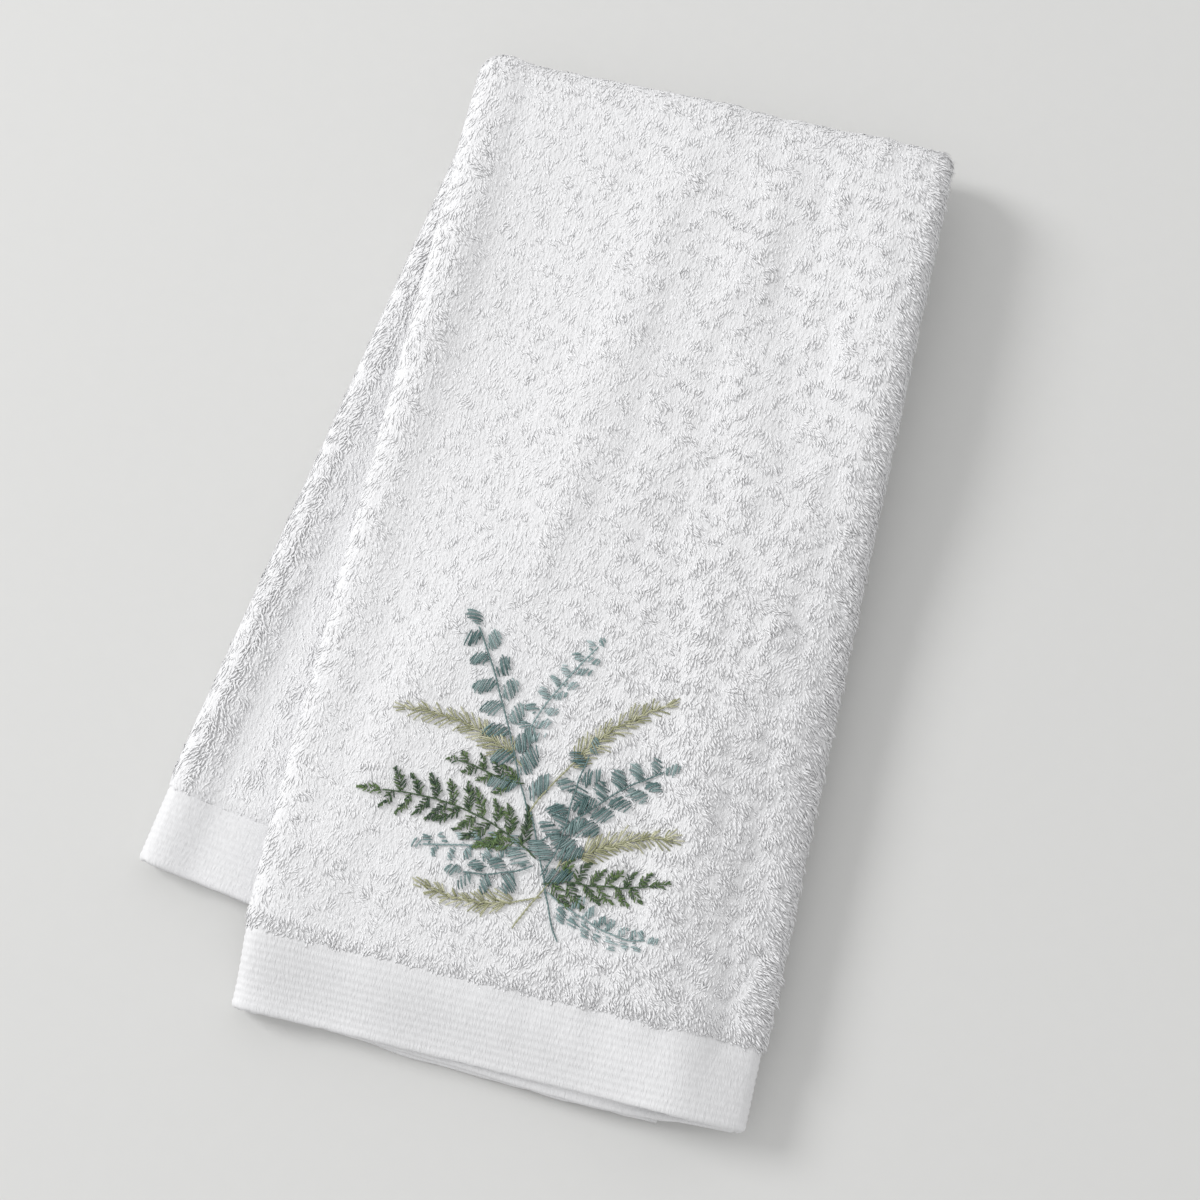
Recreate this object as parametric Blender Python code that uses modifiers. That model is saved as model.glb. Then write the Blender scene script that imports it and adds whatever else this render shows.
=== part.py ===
"""A terry hand towel, folded in thirds along its length and then in half across.

Sizes are in metres, +Z up. X runs across the folded towel and Y from its loose hems up to
the fold across its middle. The front half lies on the rear half, which is turned a little
so that its left edge and its hem show. Layer 0 is the panel that shows on top, layer 1 the
right third that is folded under it first, and layer 2 the left third that is folded last.
"""

import math
from collections import namedtuple

import bpy

NAME = "hand_towel"

# The cut cloth
CLOTH_WIDTH = 0.400
PILE_THICKNESS = 0.0032
HEM_THICKNESS = 0.0020
HEM_DEPTH = 0.022
PILE_EDGE = 0.0012

# The folded towel
PANEL_WIDTH = 0.150
FRONT_LENGTH = 0.3008
LAYER_GAP = 0.0005
HEM_GAP = 0.0006
BEND_OPENING = 0.0029

# Corners of the rear half's hem, as (x, y) from the middle of the front hem
REAR_HEM_LEFT = (-0.1125, 0.0337)
REAR_HEM_RIGHT = (0.0302, 0.0132)

# The middle of the whole outline on the table, which becomes the origin
OUTLINE_MIDDLE = (-0.01844, 0.14869)

# How far the front half comes down past the rear half's edges
HEM_FALL_REACH = 0.026
SIDE_SAG = 0.42
SIDE_SAG_REACH = 0.040
BEND_SETTLE_REACH = 0.080

# Troughs where a layer is missing underneath, the right one shallower at the bend
LEFT_TROUGH = 0.0013
RIGHT_TROUGH = 0.0026
RIGHT_TROUGH_REACH = 0.014
RIGHT_TROUGH_AT_BEND = 0.0012
REAR_TROUGH = 0.0012

# The right fold stands a little open, over this width beside it
RIGHT_OPENING = 0.0006
RIGHT_OPENING_REACH = 0.014

WHITE_COTTON = (0.86, 0.86, 0.85, 1.0)
COTTON_ROUGHNESS = 0.95

PILE_PITCH = PILE_THICKNESS + LAYER_GAP
HEM_PITCH = HEM_THICKNESS + HEM_GAP
MIDDLE_WIDTH = PANEL_WIDTH - PILE_THICKNESS
LEFT_ROLL = PILE_PITCH
RIGHT_ROLL = PILE_PITCH / 2 + RIGHT_OPENING
PANEL_FLAT = MIDDLE_WIDTH - LEFT_ROLL - RIGHT_ROLL
SIDE_THIRD = (CLOTH_WIDTH - PANEL_FLAT - math.pi * (LEFT_ROLL + RIGHT_ROLL)) / 2
PANEL_LEFT = LEFT_ROLL - MIDDLE_WIDTH / 2
PANEL_RIGHT = MIDDLE_WIDTH / 2 - RIGHT_ROLL
LEFT_THIRD_END = PANEL_LEFT + SIDE_THIRD
RIGHT_THIRD_END = PANEL_RIGHT - SIDE_THIRD

BEND_RADIUS = BEND_OPENING + 2 * PILE_PITCH
BEND_Y = FRONT_LENGTH - PILE_THICKNESS / 2 - BEND_RADIUS
REAR_LENGTH = BEND_Y - (REAR_HEM_LEFT[1] + REAR_HEM_RIGHT[1]) / 2
REAR_STACK = 3 * PILE_PITCH
REAR_HEM_STACK = 3 * HEM_PITCH
BEND_SUPPORT = 2 * (BEND_OPENING + PILE_PITCH)

# Across the cloth: stretch, width, columns
Stretch = namedtuple("Stretch", "name size steps")
BESIDE_ROLL = 0.027
ACROSS = (
    Stretch("left third", SIDE_THIRD - BESIDE_ROLL, 8),
    Stretch("left third", BESIDE_ROLL, 6),
    Stretch("left roll", math.pi * LEFT_ROLL, 6),
    Stretch("panel", BESIDE_ROLL, 6),
    Stretch("panel", PANEL_FLAT - 2 * BESIDE_ROLL, 11),
    Stretch("panel", BESIDE_ROLL, 6),
    Stretch("right roll", math.pi * RIGHT_ROLL, 6),
    Stretch("right third", BESIDE_ROLL, 6),
    Stretch("right third", SIDE_THIRD - BESIDE_ROLL, 8),
)

# Along the cloth: stretch, length, rows
FRONT_SKIRT = 0.030
FRONT_RUN = BEND_Y - HEM_DEPTH - PILE_EDGE - FRONT_SKIRT
REAR_RUN = REAR_LENGTH - HEM_DEPTH - PILE_EDGE
ALONG = (
    Stretch("front", HEM_DEPTH, 4),
    Stretch("front", PILE_EDGE, 1),
    Stretch("front", FRONT_SKIRT, 4),
    Stretch("front", FRONT_RUN, 11),
    Stretch("bend", math.pi * BEND_RADIUS, 9),
    Stretch("rear", REAR_RUN, 8),
    Stretch("rear", PILE_EDGE, 1),
    Stretch("rear", HEM_DEPTH, 2),
)

# Soft ridges of the panel on top: place, half sizes, lean to the left in degrees, height
Ridge = namedtuple("Ridge", "name x y across along lean height")
RIDGES = (
    Ridge("left roll", -0.0665, 0.150, 0.0075, 0.160, 0, 0.0009),
    Ridge("broad ridge", -0.012, 0.205, 0.030, 0.090, -3, 0.0019),
    Ridge("upper right ridge", 0.060, 0.240, 0.009, 0.050, 7, 0.0012),
    Ridge("lower right ridge", 0.061, 0.092, 0.009, 0.050, 0, 0.0013),
    Ridge("hem swell", 0.031, 0.014, 0.011, 0.015, 0, 0.0007),
)

# Under layers whose hems slip out past the top one: layer, x and how far at each x
Slip = namedtuple("Slip", "layer x out")
SLIPS = (
    Slip(2, -0.046, 0.0),
    Slip(2, -0.015, 0.0023),
    Slip(2, 0.034, 0.0034),
    Slip(2, 0.060, 0.0030),
    Slip(1, -0.040, 0.0006),
    Slip(1, 0.034, 0.0030),
    Slip(1, 0.073, 0.0006),
)
SLIP_FADE = 0.120

Column = namedtuple("Column", "x layer")
Row = namedtuple("Row", "half place to_hem")


def soft_step(share):
    """Goes from 0 to 1 with level ends, and stays there outside."""
    share = min(max(share, 0.0), 1.0)
    return share * share * (3.0 - 2.0 * share)


def mix(low, high, share):
    return low + (high - low) * share


def stations(stretches):
    """(index of the stretch, share along it) for each line of vertices."""
    lines = [(0, 0.0)]
    for index, stretch in enumerate(stretches):
        for step in range(1, stretch.steps + 1):
            lines.append((index, step / stretch.steps))
    return lines


def distance_along(stretches, index, share):
    """(name, distance) from where the stretches of that name begin."""
    name = stretches[index].name
    before = sum(stretch.size for stretch in stretches[:index] if stretch.name == name)
    return name, before + stretches[index].size * share


def column_at(index, share):
    """Where a line of the cloth lies across the fold, with its layer counted from the top."""
    name, place = distance_along(ACROSS, index, share)
    turn = math.pi * share
    if name == "left third":
        return Column(LEFT_THIRD_END - place, 2.0)
    if name == "left roll":
        return Column(PANEL_LEFT - LEFT_ROLL * math.sin(turn), 1.0 + math.cos(turn))
    if name == "panel":
        return Column(PANEL_LEFT + place, 0.0)
    if name == "right roll":
        return Column(PANEL_RIGHT + RIGHT_ROLL * math.sin(turn), (1.0 - math.cos(turn)) / 2)
    return Column(PANEL_RIGHT - place, 1.0)


def row_at(index, share):
    """Where a line of the cloth lies along the towel: Y in front, an angle in the bend, and
    the distance from the bend in the rear."""
    half, place = distance_along(ALONG, index, share)
    if half == "front":
        return Row(half, place, place)
    if half == "bend":
        return Row(half, math.pi * share, REAR_LENGTH)
    return Row(half, place, REAR_LENGTH - place)


def pile_share(to_hem):
    """0 on the flat woven hem and 1 where both faces have loops."""
    return min(max((to_hem - HEM_DEPTH) / PILE_EDGE, 0.0), 1.0)


def thickness_at(to_hem):
    return mix(HEM_THICKNESS, PILE_THICKNESS, pile_share(to_hem))


def pitch_at(to_hem):
    """Distance from one layer's middle to the next one's."""
    return mix(HEM_PITCH, PILE_PITCH, soft_step(to_hem / HEM_DEPTH))


def rest_height_at(to_hem):
    """Height of the lowest layer's middle over what the front half lies on."""
    return mix(HEM_THICKNESS, PILE_THICKNESS, soft_step(to_hem / HEM_DEPTH)) / 2


def distance_inside(x, y, start, end):
    """Distance of a point from the line through start and end, positive on its left."""
    run = (end[0] - start[0], end[1] - start[1])
    return (run[0] * (y - start[1]) - run[1] * (x - start[0])) / math.hypot(*run)


def support_under_front(x, y):
    """Height of what the front half lies on: the rear half, and past its edges less."""
    past_hem = distance_inside(x, y, REAR_HEM_LEFT, REAR_HEM_RIGHT)
    past_side = distance_inside(x, y, REAR_HEM_RIGHT, (PANEL_WIDTH / 2, BEND_Y))
    height = mix(REAR_HEM_STACK, REAR_STACK, soft_step((past_hem + PILE_EDGE) / HEM_DEPTH))
    near_bend = soft_step(1.0 - (BEND_Y - y) / BEND_SETTLE_REACH)
    height = mix(height, BEND_SUPPORT, near_bend)
    height *= 1.0 - soft_step(-past_hem / HEM_FALL_REACH)
    return height * (1.0 - SIDE_SAG * soft_step(-past_side / SIDE_SAG_REACH))


def ridge_height(x, y):
    total = 0.0
    for ridge in RIDGES:
        lean = math.radians(ridge.lean)
        right, up = x - ridge.x, y - ridge.y
        across = (right * math.cos(lean) + up * math.sin(lean)) / ridge.across
        along = (up * math.cos(lean) - right * math.sin(lean)) / ridge.along
        total += ridge.height * math.exp(-across * across - along * along)
    return total


def gap_trough(x, left, right):
    """A soft dip between two places, 1 at its middle."""
    share = (x - left) / (right - left)
    return math.sin(math.pi * share) ** 2 if 0.0 < share < 1.0 else 0.0


def right_opening(x):
    return RIGHT_OPENING * soft_step(1.0 - (PANEL_RIGHT - x) / RIGHT_OPENING_REACH)


def depth_in_front(column, y, pitch):
    """Depth under the panel's plain level, with the panel's troughs and ridges."""
    top_share = max(0.0, 1.0 - column.layer)
    upper_share = min(1.0, max(0.0, 2.0 - column.layer))
    trough = LEFT_TROUGH * gap_trough(column.x, PANEL_LEFT, RIGHT_THIRD_END) * top_share
    sag = mix(RIGHT_TROUGH, RIGHT_TROUGH_AT_BEND, soft_step(y / BEND_Y))
    sag *= soft_step(y / HEM_DEPTH)
    sag *= soft_step((column.x - LEFT_THIRD_END) / RIGHT_TROUGH_REACH) * upper_share
    raised = (ridge_height(column.x, y) + right_opening(column.x)) * top_share
    return column.layer * pitch + trough + sag - raised


def slip_of(column, y):
    """How far an under layer's hem slips out past the panel's."""
    steps = [slip for slip in SLIPS if slip.layer == round(column.layer)]
    out = 0.0
    for low, high in zip(steps, steps[1:]):
        if low.x <= column.x <= high.x:
            out = mix(low.out, high.out, soft_step((column.x - low.x) / (high.x - low.x)))
    return out * (1.0 - soft_step(y / SLIP_FADE))


def place_in_front(column, row):
    y = row.place - slip_of(column, row.place)
    pitch = pitch_at(y)
    depth = depth_in_front(column, y, pitch)
    z = support_under_front(column.x, y) + rest_height_at(y) + 2 * pitch - depth
    return column.x, y, z


def place_in_bend(column, row):
    """The front's section turns over about an axis across the towel and becomes the rear's."""
    done = soft_step(row.place / math.pi)
    front_depth = depth_in_front(column, BEND_Y, PILE_PITCH)
    rear_depth = depth_in_rear(column, PILE_PITCH)
    radius = BEND_RADIUS - mix(front_depth, rear_depth, done)
    z = PILE_THICKNESS / 2 + BEND_RADIUS + radius * math.cos(row.place)
    return column.x, BEND_Y + radius * math.sin(row.place), z


def depth_in_rear(column, pitch):
    dip = REAR_TROUGH * gap_trough(column.x, PANEL_LEFT, RIGHT_THIRD_END)
    raised = right_opening(column.x) * max(0.0, 1.0 - abs(column.layer - 1.0))
    return column.layer * pitch + raised - dip * max(0.0, column.layer - 1.0)


def place_in_rear(column, row):
    """A four-cornered sheet between the bend and the turned rear hem, panel side down."""
    inset = PILE_THICKNESS / 2
    across = column.x / MIDDLE_WIDTH + 0.5
    along = row.place / REAR_LENGTH
    left = mix(-MIDDLE_WIDTH / 2, REAR_HEM_LEFT[0] + inset, along)
    right = mix(MIDDLE_WIDTH / 2, REAR_HEM_RIGHT[0] - inset, along)
    left_y = mix(BEND_Y, REAR_HEM_LEFT[1], along)
    right_y = mix(BEND_Y, REAR_HEM_RIGHT[1], along)
    pitch, thickness = pitch_at(row.to_hem), thickness_at(row.to_hem)
    z = thickness / 2 + depth_in_rear(column, pitch)
    return mix(left, right, across), mix(left_y, right_y, across), z


PLACES = {"front": place_in_front, "bend": place_in_bend, "rear": place_in_rear}


def clear_scene():
    for obj in list(bpy.data.objects):
        bpy.data.objects.remove(obj, do_unlink=True)


def cotton_material():
    material = bpy.data.materials.new("white_terry")
    material.use_nodes = True
    shader = material.node_tree.nodes["Principled BSDF"]
    shader.inputs["Base Color"].default_value = WHITE_COTTON
    shader.inputs["Roughness"].default_value = COTTON_ROUGHNESS
    shader.inputs["Metallic"].default_value = 0.0
    return material


def folded_cloth(collection):
    """A flat grid of the cloth whose lines are then moved to where folding puts them."""
    columns = [column_at(*station) for station in stations(ACROSS)]
    rows = [row_at(*station) for station in stations(ALONG)]
    across, along = len(columns) - 1, len(rows) - 1
    bpy.ops.mesh.primitive_grid_add(x_subdivisions=across, y_subdivisions=along, size=1.0)
    towel = bpy.context.object
    towel.name = towel.data.name = NAME
    pile = towel.vertex_groups.new(name="pile")
    for vertex in towel.data.vertices:
        column = columns[round((vertex.co.x + 0.5) * across)]
        row = rows[round((vertex.co.y + 0.5) * along)]
        x, y, z = PLACES[row.half](column, row)
        vertex.co = (x - OUTLINE_MIDDLE[0], y - OUTLINE_MIDDLE[1], z)
        pile.add([vertex.index], pile_share(row.to_hem), "REPLACE")
    for other in towel.users_collection:
        other.objects.unlink(towel)
    collection.objects.link(towel)
    return towel


def give_thickness(towel):
    """Loops on both faces of the pile, and a thinner flat hem at each end."""
    cloth = towel.modifiers.new("cloth thickness", "SOLIDIFY")
    cloth.thickness = PILE_THICKNESS
    cloth.offset = 0.0
    cloth.use_even_offset = True
    cloth.use_quality_normals = True
    cloth.vertex_group = "pile"
    cloth.thickness_vertex_group = HEM_THICKNESS / PILE_THICKNESS


def main():
    clear_scene()
    collection = bpy.data.collections.new(NAME)
    bpy.context.scene.collection.children.link(collection)
    towel = folded_cloth(collection)
    give_thickness(towel)
    towel.data.materials.append(cotton_material())
    towel.data.shade_smooth()


main()
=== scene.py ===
"""A folded white terry hand towel with a stitched spray of leaves, dressed on its solid.

Sizes are in metres. The cut cloth has s across it and t along it, both from the corner of the
left third at the front hem. The function folded says where each flat place ends up, and every
piece is made on it: the cloth itself, the loops of its pile and the stitches of the spray.
"""

import math
from collections import namedtuple
import bpy
import numpy as np
from mathutils import Euler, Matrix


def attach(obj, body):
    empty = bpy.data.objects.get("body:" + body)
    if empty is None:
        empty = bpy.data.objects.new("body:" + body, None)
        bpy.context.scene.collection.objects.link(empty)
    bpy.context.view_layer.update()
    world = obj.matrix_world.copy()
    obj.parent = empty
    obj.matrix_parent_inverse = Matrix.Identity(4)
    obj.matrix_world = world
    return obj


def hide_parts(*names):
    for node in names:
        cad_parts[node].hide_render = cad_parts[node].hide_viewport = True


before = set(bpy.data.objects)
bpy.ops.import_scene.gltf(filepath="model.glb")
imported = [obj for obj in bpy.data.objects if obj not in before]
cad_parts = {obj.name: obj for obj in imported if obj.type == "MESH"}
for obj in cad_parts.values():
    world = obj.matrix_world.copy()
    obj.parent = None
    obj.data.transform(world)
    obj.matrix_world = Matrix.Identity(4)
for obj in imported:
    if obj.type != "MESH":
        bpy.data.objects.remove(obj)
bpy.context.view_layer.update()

bl_info = {
    "name": "Folded Hand Towel",
    "version": (1, 0, 0),
    "blender": (4, 5, 0),
    "location": "View3D > Sidebar > Towel",
    "description": "A terry hand towel folded in thirds and in half, with a stitched spray",
    "category": "Object",
}

NODE = "hand_towel"

# The cut cloth
CLOTH_WIDTH = 0.400
PILE_THICKNESS = 0.0032
HEM_THICKNESS = 0.0020
HEM_DEPTH = 0.022
PILE_EDGE = 0.0012

# The folded towel
PANEL_WIDTH = 0.150
FRONT_LENGTH = 0.3008
LAYER_GAP = 0.0005
HEM_GAP = 0.0006
BEND_OPENING = 0.0029
REAR_HEM_LEFT = (-0.1125, 0.0337)
REAR_HEM_RIGHT = (0.0302, 0.0132)
OUTLINE_MIDDLE = (-0.01844, 0.14869)

# How far the front half comes down past the rear half's edges
HEM_FALL_REACH = 0.026
SIDE_SAG = 0.60
SIDE_SAG_REACH = 0.033
BEND_SETTLE_REACH = 0.080

# Troughs where a layer is missing underneath, and the opening beside the right fold
LEFT_TROUGH = 0.0013
RIGHT_TROUGH = 0.0026
RIGHT_TROUGH_REACH = 0.014
RIGHT_TROUGH_AT_BEND = 0.0012
REAR_TROUGH = 0.0012
RIGHT_OPENING = 0.0006
RIGHT_OPENING_REACH = 0.014

PILE_PITCH = PILE_THICKNESS + LAYER_GAP
HEM_PITCH = HEM_THICKNESS + HEM_GAP
MIDDLE_WIDTH = PANEL_WIDTH - PILE_THICKNESS
LEFT_ROLL = PILE_PITCH
RIGHT_ROLL = PILE_PITCH / 2 + RIGHT_OPENING
PANEL_FLAT = MIDDLE_WIDTH - LEFT_ROLL - RIGHT_ROLL
SIDE_THIRD = (CLOTH_WIDTH - PANEL_FLAT - math.pi * (LEFT_ROLL + RIGHT_ROLL)) / 2
PANEL_LEFT = LEFT_ROLL - MIDDLE_WIDTH / 2
PANEL_RIGHT = MIDDLE_WIDTH / 2 - RIGHT_ROLL
LEFT_THIRD_END = PANEL_LEFT + SIDE_THIRD
RIGHT_THIRD_END = PANEL_RIGHT - SIDE_THIRD
BEND_RADIUS = BEND_OPENING + 2 * PILE_PITCH
BEND_Y = FRONT_LENGTH - PILE_THICKNESS / 2 - BEND_RADIUS
BEND_LENGTH = math.pi * BEND_RADIUS
REAR_LENGTH = BEND_Y - (REAR_HEM_LEFT[1] + REAR_HEM_RIGHT[1]) / 2
BEND_SUPPORT = 2 * (BEND_OPENING + PILE_PITCH)

# Flat places where one stretch of the cloth ends and the next begins
LEFT_ROLL_START = SIDE_THIRD
PANEL_START = LEFT_ROLL_START + math.pi * LEFT_ROLL
PANEL_END = PANEL_START + PANEL_FLAT
RIGHT_ROLL_END = PANEL_END + math.pi * RIGHT_ROLL
BEND_END = BEND_Y + BEND_LENGTH
FOLDED_LENGTH = BEND_END + REAR_LENGTH

# Soft ridges and troughs of the panel: place, half sizes, lean to the left in degrees, height
Crease = namedtuple("Crease", "name x y across along lean height")
MAIN_CREASES = (
    Crease("left roll", -0.0665, 0.150, 0.0075, 0.160, 0, 0.0009),
    Crease("broad ridge", -0.012, 0.205, 0.030, 0.090, -3, 0.0019),
    Crease("upper right ridge", 0.060, 0.240, 0.009, 0.050, 7, 0.0012),
    Crease("lower right ridge", 0.061, 0.092, 0.009, 0.050, 0, 0.0013),
    Crease("hem swell", 0.031, 0.014, 0.011, 0.015, 0, 0.0007),
)

# Softer folds that the solid leaves out, on the front's panel and on the rear's upper side
FINE_CREASES = (
    Crease("left roll, high", -0.0640, 0.225, 0.0100, 0.062, 0, 0.0044),
    Crease("left roll at the hem", -0.0620, 0.010, 0.0100, 0.050, 0, 0.0014),
    Crease("left diagonal", -0.044, 0.095, 0.0085, 0.060, -14, 0.0014),
    Crease("middle diagonal", -0.011, 0.215, 0.0085, 0.075, -7, 0.0015),
    Crease("short diagonal", -0.015, 0.155, 0.0055, 0.030, -9, 0.0011),
    Crease("upper slack", 0.021, 0.250, 0.0070, 0.032, -12, 0.0016),
    Crease("right diagonal", 0.032, 0.198, 0.0080, 0.038, 11, 0.0019),
    Crease("right edge, high", 0.068, 0.222, 0.0160, 0.055, 5, 0.0036),
    Crease("middle pucker", 0.006, 0.172, 0.0060, 0.018, -20, 0.0010),
    Crease("right pucker", 0.030, 0.148, 0.0060, 0.016, 14, 0.0011),
    Crease("lower right fold", 0.040, 0.088, 0.0078, 0.046, 3, 0.0022),
    Crease("lower right pucker", 0.050, 0.060, 0.0050, 0.016, -10, 0.0012),
    Crease("lower right edge", 0.067, 0.085, 0.0080, 0.050, 0, 0.0022),
    Crease("edge pucker", 0.063, 0.112, 0.0055, 0.020, 8, 0.0007),
    Crease("edge pucker below", 0.062, 0.048, 0.0050, 0.015, -8, 0.0010),
    Crease("hem fold", 0.055, 0.004, 0.0150, 0.024, 0, 0.0072),
    Crease("left of the hem fold", 0.028, 0.010, 0.010, 0.016, 0, -0.0005),
    Crease("hem middle", -0.032, 0.004, 0.0110, 0.022, 8, 0.0012),
)
REAR_CREASES = (
    Crease("left roll", -0.0655, 0.212, 0.0062, 0.095, 0, 0.0022),
    Crease("hollow", -0.0530, 0.225, 0.0065, 0.050, 0, -0.0003),
)

# Puckers: two wavelengths, height, share at the left and where they grow and fade
PUCKER_WAVE = 0.0125
FINE_PUCKER_WAVE = 0.0065
PUCKER_HEIGHT = 0.00032
PUCKERS_AT_LEFT = 0.30
PUCKERS_GROW_FROM = -0.030
PUCKERS_GROW_OVER = 0.060
PUCKERS_FADE_OVER = 0.008

# The left trough is shallower in its lower part
LEFT_TROUGH_BELOW = 0.35
LEFT_TROUGH_LOW = 0.060
LEFT_TROUGH_HIGH = 0.210

# Under layers whose hems slip out past the top one: layer, x and how far at each x
Slip = namedtuple("Slip", "layer x out")
SLIPS = (
    Slip(2, -0.046, 0.0),
    Slip(2, -0.015, 0.0023),
    Slip(2, 0.034, 0.0034),
    Slip(2, 0.060, 0.0030),
    Slip(1, -0.040, 0.0006),
    Slip(1, 0.034, 0.0030),
    Slip(1, 0.073, 0.0006),
)
SLIP_FADE = 0.120

# Lines of vertices on the cloth: stretch, length, steps
Stretch = namedtuple("Stretch", "name size steps")
ACROSS = (
    Stretch("left third", SIDE_THIRD, 26),
    Stretch("left roll", PANEL_START - LEFT_ROLL_START, 10),
    Stretch("panel", PANEL_FLAT, 56),
    Stretch("right roll", RIGHT_ROLL_END - PANEL_END, 8),
    Stretch("right third", SIDE_THIRD, 24),
)
ALONG = (
    Stretch("front hem", HEM_DEPTH, 44),
    Stretch("pile edge", PILE_EDGE, 2),
    Stretch("front", BEND_Y - HEM_DEPTH - PILE_EDGE, 88),
    Stretch("bend", BEND_LENGTH, 22),
    Stretch("rear", REAR_LENGTH - HEM_DEPTH - PILE_EDGE, 56),
    Stretch("pile edge", PILE_EDGE, 2),
    Stretch("rear hem", HEM_DEPTH, 44),
)

# Half thicknesses of the drawn sheet, and its unevenness
HALF_HEM = 0.0010
HALF_GROUND = 0.00180
HALF_GROUND_AT_HEM = 0.00125
GROUND_RISES_OVER = 0.005
HALF_INNER_PILE = 0.00145
UNEVEN_HEIGHT = 0.00008
UNEVEN_WAVE = 0.004
HEM_END_ROUNDING = 0.0007
HEM_END_RAGGEDNESS = 0.35
HEM_END_WAVE = 0.0012
RIB_EDGE = 0.001

# How far the grain of a finish is drawn out
HEM_GRAIN_STRETCH = (1.0, 0.28, 1.0)
PILE_GRAIN_STRETCH = (1.0, 0.45, 1.0)

# Seeds of the noises and of the random draws
CLOTH_SEED, HEM_END_SEED = 11, 12
LEAN_SEED, FINE_LEAN_SEED, CLUMP_SEED = 21, 22, 23
SPRAY_SEED, PILE_EDGE_SEED = 31, 41
PUCKER_SEED, FINE_PUCKER_SEED = 61, 62

# The loops of the pile: their shape along their length, and where they stand
LOOP_CORNERS = 3
LOOP_STATIONS = (0.0, 0.52)
LOOP_WIDTHS = (0.9, 1.0)
LOOP_ROOT = 0.00167
LOOP_FLATNESS = 0.20
LOOP_SCATTER = 0.40
LEFT_THIRD_SHOWN = 0.075
BARE_UNDER_FRONT = 0.009
ROWS_INTO_HEM = 0.002
PILE_EDGE_GAP = 0.0002
PILE_EDGE_SWING = 0.0005
PILE_EDGE_WAVE = 0.0045

# Their lengths: fuller in clumps, longer over the right roll, shorter beside a hem
CLUMP_WAVE = 0.0042
CLUMP_FULLNESS = 0.20
FULLNESS_SPREAD = 0.10
FULLNESS_RANGE = (0.6, 1.5)
LONGER_OVER_RIGHT = 0.42
LENGTH_AT_HEM = 0.55
SHORTER_WITHIN = 0.0030

# Their lean: direction and its swings in radians, the pull of clumps and of the rolls
LOOP_DIRECTION = -1.33
LEAN_WAVE = 0.022
FINE_LEAN_WAVE = 0.006
LEAN_SWING = 0.35
LEAN_SPREAD = 0.26
LOOP_PULL = 0.28
PULL_STEP = 0.0002
ROLL_BLEND = 0.008
LEFT_BLEND_EARLY = 0.006
LEAN_OVER_RIGHT = 1.2
LEAN_OVER_LEFT = 0.8

# Their tilt from the cloth's normal at root and tip, in radians, and their sideways bend
START_TILT = (0.80, 1.15)
CALM_START_TILT = 1.33
CALM_TILT = 1.10
CALM_OVER_LEFT = 0.5
END_TILT = (1.75, 2.10)
LESS_TILT_OVER_RIGHT = 0.25
SPIN_SPREAD = 0.35
SPIN_REACH = 0.3
THICKNESS_RANGE = (0.85, 1.15)
TINT_MIDDLE = 0.5
TINT_SPREAD = 0.30

# How flat and even they lie, and where less so
CALM = 0.70
CALM_LOST_AT_RIGHT = 0.05
CALM_LOST_AT_LOWER_RIGHT = 0.33
CALM_ON_REAR = 0.95
CALM_RIGHT_FROM = 0.030
CALM_RIGHT_OVER = 0.090
CALM_LOW_FROM = 0.090
CALM_LOW_OVER = 0.130
CALM_REAR_OVER = 0.010

# The stitches: their section and arch, and the spread of their random draws
STITCH_CORNERS = 4
STITCH_STATIONS = (0.0, 0.14, 0.5, 0.86, 1.0)
STITCH_RISE = (-0.35, 0.62, 1.0, 0.62, -0.35)
STITCH_WIDTHS = (0.6, 0.95, 1.0, 0.95, 0.6)
STITCH_FLATNESS = 0.8
STITCH_PITCH = 1.30
STITCH_SHAKE = 0.00022
STITCHES_LEFT_OUT = 0.08
LONG_STITCH = 0.0028
LEAST_RISE = 0.45

# What they make up: leaves, smaller and narrower towards a sprig's tip, and stems
LEAF_TINTS = (0.05, 0.70)
LEAF_SPREADS = (0.8, 1.15)
LEAF_SIZES = (0.85, 1.12)
LEAF_WIDTHS = (0.9, 1.1)
SMALLER_AT_TIP = 0.42
NARROWER_AT_TIP = 0.30
STEM_TINT = 0.25
STEM_STITCH = 0.0024
STEM_OVERLAP = 0.62
STEM_SIDE = 0.00012
BLADE_SLANT = 0.16
BLADE_BOW = 0.06
BLADE_BOWS = (0.4, 1.4)
BLADE_EDGE = 0.0004
OVAL_SLANT = math.radians(62)
OVAL_STALK = 0.0008
OVAL_EDGE = (-0.0005, 0.0003)
BUD_LENGTHS = (0.8, 1.15)

# The map of what the stitches cover
COVER_CELL = 0.00025
COVER_LENGTH = 0.15
COVER_SHARES = (0.08, 0.92)
COVER_STEPS = 22


def soft_step(share):
    """Goes from 0 to 1 with level ends, and stays there outside."""
    share = np.clip(share, 0.0, 1.0)
    return share * share * (3.0 - 2.0 * share)


def mix(low, high, share):
    return low + (high - low) * share


def unit(vectors):
    return vectors / np.linalg.norm(vectors, axis=-1, keepdims=True)


def dot(first, second):
    return np.sum(first * second, axis=-1, keepdims=True)


def soft_noise(s, t, wavelength, seed, waves=12):
    """Smooth unevenness from about -1 to 1, of waves that are near one length."""
    random = np.random.default_rng(seed)
    total = np.zeros(np.broadcast(s, t).shape)
    for _ in range(waves):
        heading, phase = random.uniform(0.0, 2 * math.pi, 2)
        length = wavelength * random.uniform(0.65, 1.5)
        run = s * math.cos(heading) + t * math.sin(heading)
        total += np.sin(run * 2 * math.pi / length + phase)
    return total * 0.8 / math.sqrt(waves / 2)


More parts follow.
